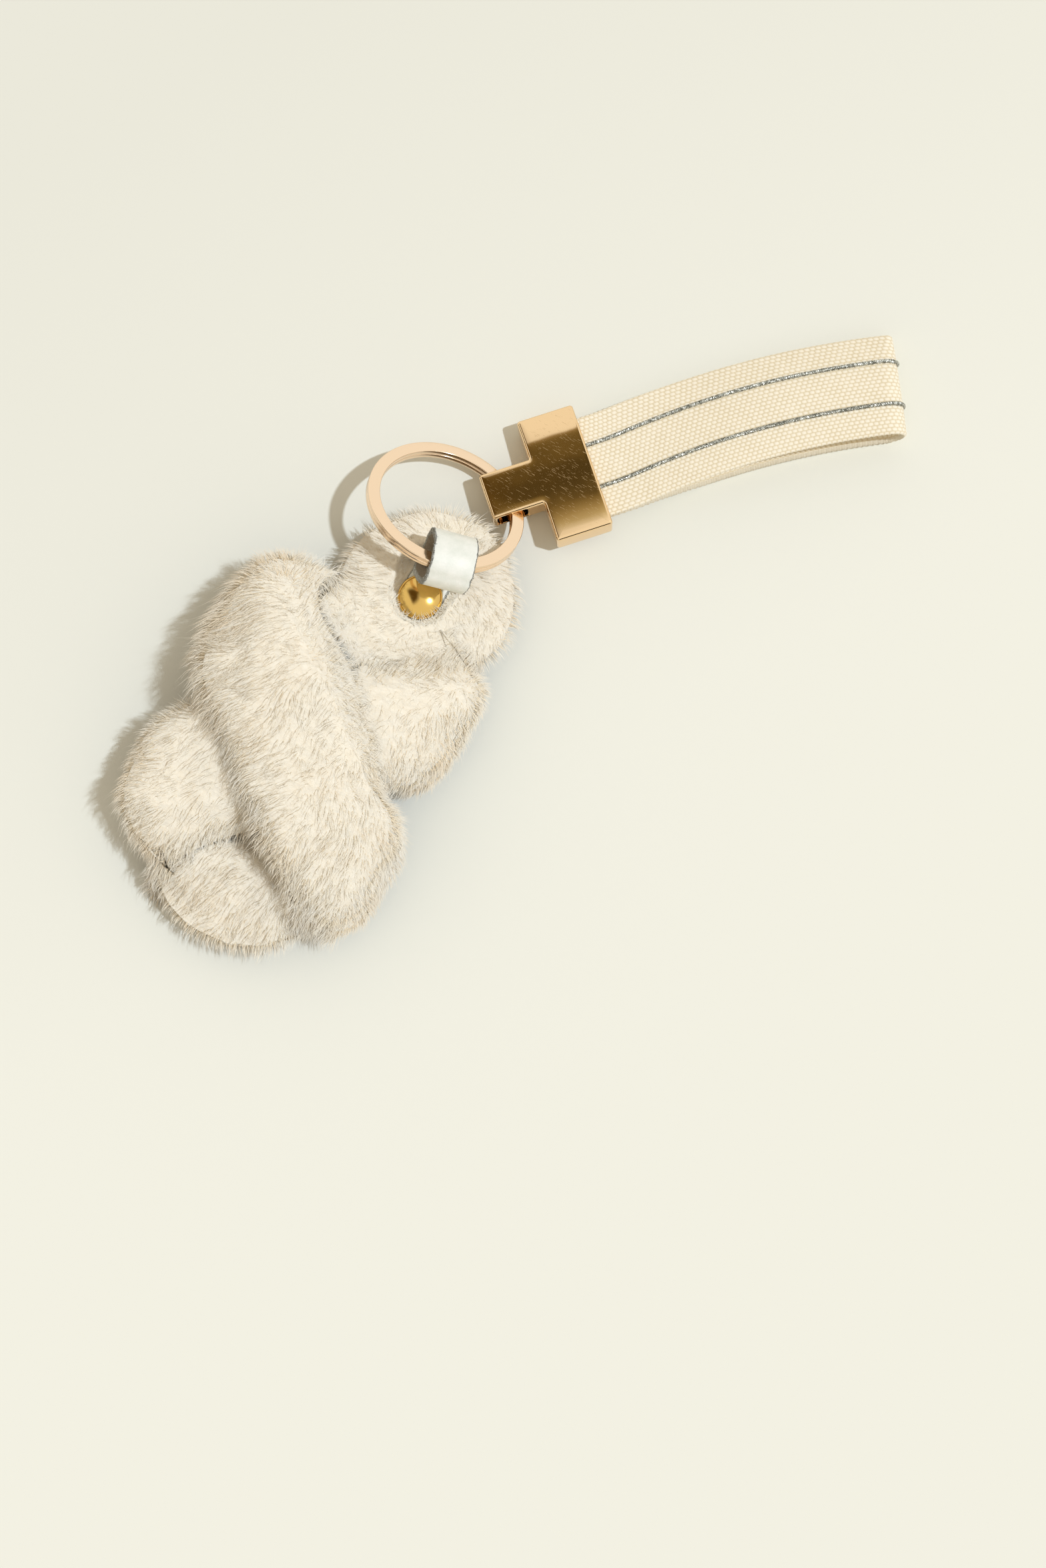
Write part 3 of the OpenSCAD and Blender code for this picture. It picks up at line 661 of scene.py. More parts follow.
def strap_place(t, across, out, strap):
    """A place on a strap in the row frame: across is from its middle towards the heel, out from its arch."""
    base = arch(t, strap["rise"])
    lift = arch_out(t, strap["rise"])
    right, left = smooth(0.42 - t, 0, 0.26), smooth(t - 0.58, 0, 0.26)
    rb, rf, lb, lf = strap["corners"]
    heel_side = across > 0
    corner = right * np.where(heel_side, rb, rf) + left * np.where(heel_side, lb, lf)
    pulled = out - corner * np.minimum(1.3, np.abs(across) / 18.0) ** 4
    y = strap_middle(t, strap["way"]) + across
    return np.stack([base[..., 0] + lift[..., 0] * pulled, y, base[..., 1] + lift[..., 1] * pulled], -1)


def strap_grid(strap, low=0.012, steps=150):
    """Undercoat of a strap's pile: a rounded bolster on the hide, its front edge fuller than its back."""
    t = np.linspace(low, 1 - low, steps)[:, None]
    a = np.radians(np.linspace(-90, 90, 61))[None, :]
    height = 6.4 * (0.55 + 0.45 * np.sqrt(np.sin(np.pi * t))) * (1 - strap["pressed"] * np.sin(np.pi * t) ** 4)
    height = (height - 0.3) * (1 - strap["thin_right"] * smooth(0.45 - t, 0, 0.3))
    mid, left = strap["reach"]
    forward = 1.6 + mid * bell(t, 0.5, 0.17) + left * bell(t, 0.7, 0.13)
    s, c = np.sin(a), np.cos(a)
    merging = smooth(0.66 - t, 0, 0.2)
    back = strap["back"] + 4.5 * merging + strap["back_left"] * bell(t, 0.72, 0.09)
    across = np.sign(s) * np.abs(s) ** 0.8 * (STRAP_HALF_W + np.where(s > 0, back, forward))
    droop = np.maximum(0, np.abs(across) - STRAP_HALF_W) * np.where(s > 0, 0.5 + 0.35 * merging, 0.35)
    out = HIDE_T + 0.06 + height * np.maximum(c, 0) ** np.where(s > 0, 0.95 + 0.25 * merging, 1.0) - droop
    top = strap_place(t + 0 * a, across, out, strap)
    lumps = drift(top, 6.5, 21, 1)[..., 0] * 0.7 + drift(top, 2.2, 22, 1)[..., 0] * 0.25
    top = top + grid_normals(top, False) * (lumps * np.maximum(c, 0) ** 0.5)[..., None]
    under = np.linspace(1, -1, 9)[1:-1][None, :]
    below = strap_place(t + 0 * under, under * (STRAP_HALF_W - 0.4), HIDE_T + 0.06 + 0 * under + 0 * t, strap)
    grid = np.concatenate([top, below], 1)
    grid[..., 2] = np.maximum(grid[..., 2], 0.4)
    return grid


# The map of heights on which the wool's undercoats are joined, in millimetres
MAP_CELL = 0.5
MAP_CORNER = np.array([-46.0, -66.0])
MAP_SIZE = (180, 270)
# In cells: half the width of a crease that is filled, the fill's softness, and how far inside the outline it starts
CREASE_CELLS, BLUR_CELLS, RIM_CELLS = 15, 6.0, 4

_wool = {}


def height_map(grids):
    """The highest of several grids over each cell of the map."""
    tops = np.zeros(MAP_SIZE)
    for grid in grids:
        right = np.roll(grid, -1, 1)
        for u, v in np.ndindex(4, 4):
            places = mixed(grid[:-1], grid[1:], right[:-1], right[1:], u / 4, v / 4).reshape(-1, 3)
            i, j = np.round((places[:, :2] - MAP_CORNER) / MAP_CELL).astype(int).T
            np.maximum.at(tops, (i, j), places[:, 2])
    return tops


def nearby(field, reach, pick):
    """The least or the greatest value of a map within reach cells of each cell."""
    cells = range(-reach, reach + 1)
    disc = [(i, j) for i in cells for j in cells if i * i + j * j <= reach * reach]
    return pick([np.roll(field, step, (0, 1)) for step in disc], axis=0)


def blurred(field):
    """A map blurred both ways."""
    cells = range(-CREASE_CELLS, CREASE_CELLS + 1)
    spread = np.exp(-(np.array(cells) / BLUR_CELLS) ** 2 / 2)
    for axis in (0, 1):
        field = sum(w * np.roll(field, i, axis) for i, w in zip(cells, spread / spread.sum()))
    return field


def map_value(field, xy):
    """A map's values at places in plan."""
    at = (xy - MAP_CORNER) / MAP_CELL
    base = np.floor(at).astype(int)
    u, v = np.moveaxis(at - base, -1, 0)
    i, j = np.moveaxis(base, -1, 0)
    return mixed(field[i, j], field[i + 1, j], field[i, j + 1], field[i + 1, j + 1], u, v)


def wool_grids():
    """The undercoats of the footbed and both straps, the creases between them filled as packed wool does."""
    if _wool:
        return _wool
    _wool.update(footbed=footbed_grid(), **{name: strap_grid(strap) for name, strap in STRAPS.items()})
    tops = height_map(_wool.values())
    closed = blurred(nearby(nearby(tops, CREASE_CELLS, np.max), CREASE_CELLS, np.min))
    # Only well inside the outline, whose notches stay open
    inside = blurred(nearby(tops > 4, RIM_CELLS, np.min).astype(float))
    for layer, (name, grid) in enumerate(_wool.items()):
        xy, z = grid[..., :2], grid[..., 2]
        shown = smooth(z - map_value(tops, xy), -4.0, -1.0) * smooth(map_value(inside, xy), 0.4, 0.9)
        kept = 1 - bell(segment_distance(xy, *HOLLOW), 0, 3.5)
        kept = kept * (1 - bowl_depth(xy) * (name == "footbed")) * (z > PILE_Z + 1)
        rise = np.clip(map_value(closed, xy) - z - 0.12 * layer, 0, 6) * shown * kept
        for _ in range(3):
            rise[1:-1] = (rise[:-2] + 2 * rise[1:-1] + rise[2:]) / 4
            rise = (np.roll(rise, 1, 1) + 2 * rise + np.roll(rise, -1, 1)) / 4
        grid[..., 2] += rise
    return _wool


def hide_grid(strap, low=0.012, steps=120):
    """The strap's skin: a thin sheet with round edges, under the pile."""
    t = np.linspace(low, 1 - low, steps)[:, None]
    edge = 0.25
    w, h = STRAP_HALF_W, HIDE_T
    ring = [(x, 0.0) for x in np.linspace(-w + edge, w - edge, 15)]
    ring += [(w, edge), (w, h - edge)] + [(x, h) for x in np.linspace(w - edge, -w + edge, 15)]
    ring += [(-w, h - edge), (-w, edge)]
    ring = np.array(ring)
    return strap_place(t + 0 * ring[None, :, 0], ring[None, :, 0] + 0 * t, ring[None, :, 1] + 0 * t, strap)


def closed_tube(grid):
    """Points and faces of a tube grid with its two ends filled."""
    rows, columns = grid.shape[:2]
    faces = [list(f) for f in quads(rows, columns, close_columns=True)]
    faces += [list(range(columns))[::-1], [(rows - 1) * columns + i for i in range(columns)]]
    return grid.reshape(-1, 3), faces


# ---------- metal ----------

# Sizes in millimetres and places, as in the part's source
CAP_D, CAP_H, CAP_Z, SOCKET_D, BORE_D = 10.0, 1.9, 8.2, 4.4, 3.1
RING_D, RING_W, RING_T, RING_GAP, RING_STEP, RING_TIP = 36.0, 2.7, 1.08, 0.04, 22.0, 1.5
RING_PLACE = (Matrix.Translation((-4.98, 53.6, 13)) @ Matrix.Rotation(math.radians(86.6), 4, "Z")
              @ Matrix.Rotation(math.radians(35.2), 4, "Y") @ Matrix.Rotation(math.radians(-38), 4, "Z"))
CLASP_HEADING, CLASP_ROLL = math.radians(48.6), math.radians(6)
EYE_C = np.array([4.41, 64.04, 5.2])
CLASP_PLACE = (Matrix.Translation(EYE_C) @ Matrix.Rotation(CLASP_HEADING, 4, "Z")
               @ Matrix.Rotation(-CLASP_ROLL, 4, "X"))
BAR_L, BAR_W, NECK_W, CLASP_T = 29.4, 13.1, 10.8, 7.4
EYE_L, EYE_WALL, EYE_TO_BAR = 7.2, 0.95, 7.3
MOUTH_H, MOUTH_DEPTH, WEB_W = 3.8, 10.0, 24.0
SCREW_D, SCREW_PITCH = 2.6, 15.0
# Depth of a scratch in millimetres, and the points round a turned piece
SCRATCH_DEPTH = 0.0015
LATHE_STEPS = 128


def moved(points, matrix):
    """Points moved by a matrix."""
    m = np.array(matrix)
    return np.asarray(points, float) @ m[:3, :3].T + m[:3, 3]


def polished_metal(name, colour, roughness, wave_mm=5.0, wave_depth=0.006, scratches=0.0):
    """Cast or drawn metal, buffed and plated: a mirror with a slow waviness, and hairlines and dust in its gloss."""
    material, tree, body = shader(name, Base_Color=linear(colour), Metallic=1.0, Roughness=roughness)
    place = place_in_mm(tree)
    waves = noise(tree, place, wave_mm, 1.0)
    total = arithmetic(tree, "MULTIPLY", waves, wave_depth)
    if scratches:
        lines = []
        for angle in (0.5, 1.45):
            # Long thin cells, turned to the direction of the buffing
            turned = add(tree, "ShaderNodeMapping", {"Vector": place, "Rotation": (0, 0, angle),
                                                     "Scale": (0.4, 13.0, 0.4)})
            line = add(tree, "ShaderNodeTexNoise", {"Vector": turned.outputs[0], "Scale": 1.0, "Detail": 1.0})
            lines.append(span(tree, line.outputs["Fac"], 0.73, 0.76))
        marks = arithmetic(tree, "MAXIMUM", *lines)
        dust = span(tree, noise(tree, place, 0.28, 2.0), 0.68, 0.74)
        patches = span(tree, noise(tree, place, 7.0, 1.0), 0.42, 0.62)
        worn = arithmetic(tree, "MAXIMUM", marks, arithmetic(tree, "MULTIPLY", dust, patches))
        tree.links.new(span(tree, worn, 0, 1, roughness, roughness + scratches), body.inputs["Roughness"])
        total = arithmetic(tree, "ADD", total, arithmetic(tree, "MULTIPLY", marks, -SCRATCH_DEPTH))
    else:
        hairs = noise(tree, place, 0.5, 2.0)
        tree.links.new(span(tree, hairs, 0.3, 0.7, roughness * 0.8, roughness * 1.3), body.inputs["Roughness"])
    relief(tree, body, total, 1.0)
    return material


def rivet_cap_mesh():
    """Domed cap with a rolled rim, its socket below it open for the post."""
    r, z = CAP_D / 2, CAP_Z
    roll_r = 0.32
    roll = [(r - roll_r + roll_r * math.cos(a), z + 0.34 + roll_r * math.sin(a))
            for a in np.radians(np.arange(-90, 81, 17))]
    rim_r, dome_h = r - 0.42, CAP_H - 0.62
    ball = (rim_r ** 2 + dome_h ** 2) / (2 * dome_h)
    dome = [(x, z + CAP_H - ball + math.sqrt(ball * ball - x * x)) for x in np.linspace(rim_r - 0.04, 0.02, 26)]
    profile = [(0.02, z - 0.2), (BORE_D / 2, z - 0.2), (BORE_D / 2, 3.35), (SOCKET_D / 2 - 0.15, 3.2),
               (SOCKET_D / 2, 3.35), (SOCKET_D / 2, z - 0.05), (SOCKET_D / 2 + 0.1, z + 0.02),
               (r - 0.5, z + 0.02)]
    profile += roll + [(rim_r + 0.02, z + 0.56)] + dome
    return lathed_solid(profile, RIVET, LATHE_STEPS)


def wire_ring():
    """Split ring: one flat wire of two turns, with the step where it rises by its own thickness."""
    pitch = RING_T + RING_GAP
    turn = 360 - RING_STEP - RING_TIP
    c = 0.17
    inner, outer, top = RING_D / 2 - RING_W, RING_D / 2, RING_T
    # Its flat section, the corners rounded by c
    section = []
    centres = ((outer - c, c), (outer - c, top - c), (inner + c, top - c), (inner + c, c))
    for (x, z), start in zip(centres, (-90, 0, 90, 180)):
        section += [(x + c * math.cos(a), z + c * math.sin(a)) for a in np.radians(start + np.arange(0, 91, 22.5))]
    section = np.array(section)
    angles = np.concatenate([np.arange(-turn, 0, 1.5), np.arange(0, RING_STEP, 1.0),
                             np.arange(RING_STEP, RING_STEP + turn + 0.1, 1.5)])
    rise = pitch * (0.5 - 0.5 * np.cos(np.pi * np.clip(angles / RING_STEP, 0, 1)))
    middle = section.mean(0)
    grid = []
    for i, (a, z) in enumerate(zip(np.radians(angles), rise)):
        # The cut ends are a little worn down
        size = 0.90 if i in (0, len(angles) - 1) else 1.0
        s = middle + (section - middle) * size
        grid.append(np.c_[s[:, 0] * math.cos(a), s[:, 0] * math.sin(a), s[:, 1] + z - (pitch + RING_T) / 2])
    points, faces = closed_tube(np.array(grid))
    return moved(points, RING_PLACE), [f[::-1] for f in faces]


def t_outline(inset, corner=0.75, hollow=0.4, steps=7):
    """Plan of the clasp, moved in by inset: round corners, always with the same number of points."""
    n0, x1, x2, h, w = -4.65, EYE_TO_BAR, EYE_TO_BAR + BAR_W, BAR_L / 2, NECK_W / 2
    corners = [(n0, -w, 1), (x1, -w, 0), (x1, -h, 1), (x2, -h, 1),
               (x2, h, 1), (x1, h, 1), (x1, w, 0), (n0, w, 1)]
    moves = [(1, 1), (1, 1), (1, 1), (-1, 1), (-1, -1), (1, -1), (1, -1), (1, -1)]
    starts = [180, 90, 180, 270, 0, 90, 0, 90]
    ring = []
    for (x, y, convex), (mx, my), start in zip(corners, moves, starts):
        r = max(corner - inset, 0.04) if convex else hollow + inset
        x, y = x + mx * inset, y + my * inset
        if convex:
            cx, cy = x + mx * r, y + my * r
            arc = np.radians(start + np.linspace(0, 90, steps))
        else:
            cx, cy = x - mx * r, y - my * r
            arc = np.radians(start + np.linspace(0, -90, steps))
        ring.append([(cx + r * math.cos(a), cy + r * math.sin(a)) for a in arc])
    # Points along the straights too, so that the crowned face bends between the corners
    plan = []
    for arc, after, points in zip(ring, ring[1:] + ring[:1], (11, 8, 12, 28, 12, 8, 11, 10)):
        plan += arc + [tuple(np.array(arc[-1]) * (1 - f) + np.array(after[0]) * f)
                       for f in np.arange(1, points) / points]
    return np.array(plan)


def clasp_top(x, y, depth):
    """Height of the polished top face: buffing rounds it towards every edge and towards the arms' ends."""
    edge = 0.018 * np.clip(1 - (depth - 0.55) / 1.1, 0, 1) ** 2
    ends = 0.0052 * np.clip(np.abs(y) - 7.5, 0, None) ** 2
    neck = 0.0040 * np.clip(-x + 1.5, 0, None) ** 2
    return CLASP_T / 2 - edge - ends - neck


def casting_mesh():
    """The clasp before its eye and mouth are cut: walls, a bevel, and a crowned top face."""
    half, below = CLASP_T / 2, 1.3
    # How far in from the outline, and how high
    rows = [(below + 0.35, -half), (below, -half + 0.02), (below - 0.15, -half + 0.11),
            (0.12, -half + below - 0.10), (0.02, -half + below + 0.08), (0.0, -half + below + 0.3),
            (0.0, 0.0), (0.0, half - 0.95)]
    grid = [np.c_[t_outline(i), np.full(len(t_outline(i)), z)] for i, z in rows]
    # Bevel between the wall and the crowned face
    for f in (0.12, 0.3, 0.5, 0.7, 0.88):
        a = math.radians(90 * f)
        plan = t_outline(0.62 * (1 - math.cos(a)))
        top = clasp_top(plan[:, 0], plan[:, 1], 0.62)
        grid.append(np.c_[plan, half - 0.95 + (top - half + 0.95) * math.sin(a)])
    for inset in (0.62, 0.8, 1.0, 1.3, 1.7, 2.1, 2.6, 3.2):
        plan = t_outline(inset)
        grid.append(np.c_[plan, clasp_top(plan[:, 0], plan[:, 1], inset)])
    grid = np.array(grid)
    count = grid.shape[1]
    points = [tuple(p) for p in grid.reshape(-1, 3)]
    faces = [tuple(f)[::-1] for f in quads(len(grid), count, close_columns=True)]
    faces.append(tuple(range(count))[::-1])
    # The middle of the face, as a fine triangle net
    loop = grid[-1]
    first = (len(grid) - 1) * count
    rim = [Vector(p[:2]) for p in loop]
    net = []
    for x in np.arange(-1.0, EYE_TO_BAR + BAR_W, 0.9):
        for y in np.arange(-BAR_L / 2, BAR_L / 2, 0.9):
            in_neck = -0.9 < x < 12 and abs(y) < NECK_W / 2 - 3.6
            in_bar = EYE_TO_BAR + 3.7 < x < EYE_TO_BAR + BAR_W - 3.6 and abs(y) < BAR_L / 2 - 3.7
            if in_neck or in_bar:
                net.append(Vector((x, y)))
    edges = [(i, (i + 1) % count) for i in range(count)]
    flat, _, triangles, origin, _, _ = delaunay_2d_cdt(rim + net, edges, [], 1, 1e-5)
    place = {}
    for i, (p, came) in enumerate(zip(flat, origin)):
        own = [o for o in came if o < count]
        if own:
            place[i] = first + own[0]
        else:
            place[i] = len(points)
            points.append((p.x, p.y, float(clasp_top(p.x, p.y, 3.2))))
    faces += [tuple(place[i] for i in t) for t in triangles]
    return points, faces


def rounded_bar(length, wide, high, r, centre=(0, 0, 0), steps=6):
    """A bar along y with a round-cornered section, for cutting."""
    ring = []
    for sx, sz, start in ((1, -1, -90), (1, 1, 0), (-1, 1, 90), (-1, -1, 180)):
        for a in np.radians(start + np.linspace(0, 90, steps)):
            ring.append((sx * (wide / 2 - r) + r * math.cos(a), sz * (high / 2 - r) + r * math.sin(a)))
    ring = np.array(ring)
    grid = np.array([np.c_[ring[:, 0], np.full(len(ring), y), ring[:, 1]] for y in (-length / 2, length / 2)])
    return closed_tube(grid + np.array(centre))


def cut_away(made, cutters):
    """Cuts solids, given in the clasp's own frame, out of a piece."""
    for i, (points, faces) in enumerate(cutters):
        mesh = bpy.data.meshes.new(f"cut_{i}")
        mesh.from_pydata([tuple(p) for p in moved(points, CLASP_PLACE) * MM], [], [tuple(f) for f in faces])
        work = bmesh.new()
        work.from_mesh(mesh)
        bmesh.ops.recalc_face_normals(work, faces=work.faces)
        work.to_mesh(mesh)
        work.free()
        cutter = bpy.data.objects.new(f"cut_{i}", mesh)
        bpy.context.scene.collection.objects.link(cutter)
        cut = made.modifiers.new("cut", "BOOLEAN")
        cut.operation, cut.solver, cut.object = "DIFFERENCE", "EXACT", cutter
        settle(made)
        bpy.data.objects.remove(cutter)
        bpy.data.meshes.remove(mesh)


def settle(made):
    """Applies a piece's modifiers."""
    graph = bpy.context.evaluated_depsgraph_get()
    mesh = bpy.data.meshes.new_from_object(made.evaluated_get(graph))
    made.modifiers.clear()
    old, made.data = made.data, mesh
    name = old.name
    bpy.data.meshes.remove(old)
    mesh.name = name


# ---------- leather tab ----------

# Sizes in millimetres, as in the part's source
TAB_W, TAB_T, LOOP_D = 9.5, 1.4, 10.2
# The loop's middle and its turn. It leans so that its left opening shows
LOOP_C = np.array([2.6, 42.5, 19.6])
LOOP_TURN = math.radians(19)
LOOP_ROLL = 0.28
TAB_MID_Z = PILE_Z + 0.05 + TAB_T


def leather_materials():
    """Bovine leather, split and pigmented: smooth fine-pored face, fuzzy cut edges, and a suede flesh side painted
    brown with the shade that falls inside the loop.
    """
    face, tree, body = shader("pigmented_white_leather", Roughness=0.48, Specular_IOR_Level=0.35,
                              Sheen_Weight=0.1)
    place = place_in_mm(tree)
    # Pores of white finished calf are about 0.2 mm apart, drawn at twice that so that they show
    pores = add(tree, "ShaderNodeTexVoronoi", {"Vector": place, "Scale": 2.6, "Randomness": 1.0},
                feature="F1").outputs["Distance"]
    mottle = noise(tree, place, 2.4, 3)
    paint(tree, body, mottle, [(0.3, "#EAECE1"), (0.7, "#F8F7EE")])
    creases = noise(tree, place, 0.9, 4, 0.6)
    relief(tree, body, arithmetic(tree, "ADD", pores, creases), 0.05, 0.7)
    flesh, tree, body = shader("leather_flesh_side", Roughness=0.95, Specular_IOR_Level=0.1, Sheen_Weight=0.3)
    nap = noise(tree, place_in_mm(tree), 0.25, 4, 0.7)
    # Painted shade: the flesh side is painted dark brown, as the shade inside the loop shows it
    paint(tree, body, nap, [(0.30, "#6E5F4B"), (0.5, "#A3957E"), (0.75, "#D9D0BE")])
    relief(tree, body, nap, 0.3)
    edge, tree, body = shader("leather_cut_edge", Roughness=0.9, Specular_IOR_Level=0.15)
    fibre = noise(tree, place_in_mm(tree), 0.22, 4, 0.75)
    paint(tree, body, fibre, [(0.32, "#77736A"), (0.5, "#B9B9B0"), (0.68, "#F0F1EB")])
    relief(tree, body, fibre, 0.25)
    return face, flesh, edge


def tab_line():
    """Side view of the strip's middle: out from the rivet, up round the split ring and back over itself."""
    r = (LOOP_D + TAB_T) / 2
    n = np.array([TAB_END[1], TAB_MID_Z])
    q = LOOP_C[1:]
    lean = math.atan2(*(q - n)[::-1])
    half = math.acos(r / np.linalg.norm(q - n))
    start = RIVET[1] - TAB_W / 2 + 0.12
    line = [(y, TAB_MID_Z - TAB_T / 2) for y in np.linspace(start, n[0] - 2, 12)]
    line += [n + (0.4, -TAB_T / 2)]
    line += [q + r * np.array([math.cos(a), math.sin(a)])
             for a in lean + math.pi + half + (2 * math.pi - 2 * half) * np.arange(13) / 12]
    line += [n + (-0.4, TAB_T / 2)] + [(y, TAB_MID_Z + TAB_T / 2) for y in np.linspace(n[0] - 2, start, 12)]
    line = np.array(line)
    # Corners cut three times over, which rounds them
    for _ in range(3):
        cut = np.stack([0.75 * line[:-1] + 0.25 * line[1:], 0.25 * line[:-1] + 0.75 * line[1:]], 1)
        line = np.concatenate([line[:1], cut.reshape(-1, 2), line[-1:]])
    return line


def tab_place(line, across, out):
    """Points on the strip: across its width, and out towards its finished side."""
    d = np.gradient(line, axis=0)
    normal = unit(np.stack([d[:, 1], -d[:, 0]], 1))
    y = line[:, None, 0] + normal[:, None, 0] * out
    z = line[:, None, 1] + normal[:, None, 1] * out
    rise = np.clip((line[:, None, 1] - TAB_MID_Z - 1) / (LOOP_C[2] - TAB_MID_Z - 1), 0, 1)
    turn = LOOP_TURN * rise
    # The strip's two ends are cut round, about the rivet
    short = np.sqrt(np.clip(1 - ((line[:, None, 0] - RIVET[1]) / (TAB_W / 2)) ** 2, 0.02, 1))
    narrow = np.where((line[:, None, 0] < RIVET[1]) & (line[:, None, 1] < TAB_MID_Z + TAB_T), short, 1)
    across = across * narrow
    lean = LOOP_ROLL * rise * (z - LOOP_C[2])
    return np.stack([LOOP_C[0] * rise + lean - (y - LOOP_C[1]) * np.sin(turn) + across * np.cos(turn),
                     LOOP_C[1] + (y - LOOP_C[1]) * np.cos(turn) + across * np.sin(turn),
                     z - across * LOOP_ROLL * rise], -1)


def tab_grid():
    """The folded strip, and which of its materials each of its columns shows: face, flesh side or cut edge."""
    line = tab_line()
    w, t, e = TAB_W / 2, TAB_T / 2 - 0.02, 0.28
    ring = [(x, t) for x in np.linspace(-w + e, w - e, 13)]
    ring += [(w - 0.08, t - 0.08), (w, t - e), (w, 0), (w, -t + e), (w - 0.08, -t + 0.08)]
    ring += [(x, -t) for x in np.linspace(w - e, -w + e, 13)]
    ring += [(-w + 0.08, -t + 0.08), (-w, -t + e), (-w, 0), (-w, t - e), (-w + 0.08, t - 0.08)]
    ring = np.array(ring)
    across, out = ring[None, :, 0] + 0 * line[:, :1], ring[None, :, 1] + 0 * line[:, :1]
    base = tab_place(line, across, out)
    # A soft crease across the top of the loop, and a ragged knife line along both edges
    along = np.arange(len(line))[:, None] / len(line)
    out = out - bell(along, 0.56, 0.012) * 0.16 - bell(along, 0.47, 0.02) * 0.08
    ragged = drift(base, 1.1, 31, 1)[..., 0] * 0.10 * (np.abs(ring[None, :, 0]) > w - 0.3)
    across = across + ragged * np.sign(ring[None, :, 0])
    sag = drift(base, 5.0, 32, 1)[..., 0] * 0.10
    grid = tab_place(line, across, out + sag * 0.6)
    middle = (ring + np.roll(ring, -1, 0)) / 2
    return grid, np.where(np.abs(middle[:, 0]) > w - 0.2, 2, np.where(middle[:, 1] > 0, 0, 1))


# ---------- webbing ----------

# Sizes in millimetres and places, as in the part's source
WEB_T, WEB_L, FOLD_H, UPPER_SLOPE = 1.4, 71.8, 6.6, 14.0
WEB_TURN, WEB_TURN_L, WEB_BEND_R = math.radians(7.6), 10.0, 210.0
CORD_PITCH, CORD_H = 10.1, 0.35
WEB_GROUND = 0.06 + 0.05 + CORD_H + WEB_T / 2
ALONG = np.array([math.cos(CLASP_HEADING), math.sin(CLASP_HEADING)])
ACROSS = np.array([-math.sin(CLASP_HEADING), math.cos(CLASP_HEADING)])
MOUTH = EYE_C[:2] + (EYE_TO_BAR + BAR_W) * ALONG


def web_middle(s):
    """Place of the webbing's middle in plan, s out of the mouth."""
    f = np.clip(s / WEB_TURN_L, 0, 1)
    run = WEB_TURN_L * (f ** 3 - f ** 4 / 2) + np.maximum(0, s - WEB_TURN_L)
    sideways = WEB_TURN * run - np.maximum(0, s) ** 2 / (2 * WEB_BEND_R)
    return MOUTH + s[..., None] * ALONG + sideways[..., None] * ACROSS


def web_heading(s):
    """The webbing's direction in plan, s out of the mouth."""
    return CLASP_HEADING + WEB_TURN * smooth(s, 0, WEB_TURN_L) - np.maximum(0, s) / WEB_BEND_R


def lower_z(s, k):
    """Height of the lower layer's middle, s out of the mouth and k across."""
    z0 = EYE_C[2] - WEB_T / 2 - 0.02
    return z0 + (WEB_GROUND - z0) * smooth(s, 0, 26) - k * np.tan(CLASP_ROLL * (1 - smooth(s, 0, 30)))


def upper_z(s, k):
    """The upper layer: level across in the mouth, arched across its width at the far end,
    where its north edge is pressed down on the lower layer."""
    z0 = EYE_C[2] + WEB_T / 2 + 0.02
    rising = z0 + (WEB_GROUND + FOLD_H - WEB_T - z0) * smooth(s, 0, WEB_L - 10)
    straight = rising - k * np.tan(CLASP_ROLL + math.radians(UPPER_SLOPE - 6) * smooth(s, 0, 30))
    q = np.clip(k / WEB_W + 0.5, 0, 1)
    bow = (0.75 * q - 0.75 * q ** 3) * 5.2
    return straight + (bow + 0.15) * smooth(s, 6, 46)


def web_rows(k, steps):
    """Middle line of the webbing at k across, from the mouth along the lower layer, round the fold and back:
    its places and the distance along it."""
    inside = -MOUTH_DEPTH + 1
    k = np.asarray(k, float)
    fold_r = (upper_z(np.full_like(k, WEB_L), k) - lower_z(np.full_like(k, WEB_L), k)) / 2
    bend = WEB_L - fold_r - WEB_T / 2
    n_flat, n_fold = steps
    u = np.linspace(0, 1, n_flat)[:, None]
    out = inside + (bend[None, :] - inside) * u
    low = np.stack([out, lower_z(out, k[None, :])], -1)
    a = np.radians(np.linspace(-90, 90, n_fold + 2)[1:-1])[:, None]
    fold_z = lower_z(bend, k) + fold_r
    fold = np.stack([bend + fold_r * np.cos(a), fold_z + fold_r * np.sin(a)], -1)
    high = np.stack([out, upper_z(out, k[None, :])], -1)[::-1]
    path = np.concatenate([low, fold, high])
    heading = web_heading(path[..., 0])
    middle = web_middle(path[..., 0])
    side = np.stack([-np.sin(heading), np.cos(heading)], -1)
    place = np.concatenate([middle + k[None, :, None] * side, path[..., 1:]], -1)
    step = np.linalg.norm(np.diff(path, axis=0), axis=-1)
    run = np.concatenate([np.zeros((1, len(k))), np.cumsum(step, 0)])
    return place, run


# Spacing of the yarns along and across, and the stretch of webbing that the weave's map holds
WARP_MM, WEFT_MM = 1.24, 0.88
WEB_MAP = 200.0


def weave_height(run, k):
    """Plain weave of thick yarns: each warp float is an oval bump, in brick order."""
    row = np.floor(k / WEFT_MM + 1000)
    shift = np.where(row % 2 > 0, 0.5, 0.0)
    across = (k / WEFT_MM + 1000) % 1 - 0.5
    along = (run / WARP_MM + shift) % 1 - 0.5
    return np.sqrt(np.clip(1 - (across * 2) ** 2 * 0.9, 0, 1)) * np.cos(np.pi * along) ** 0.8


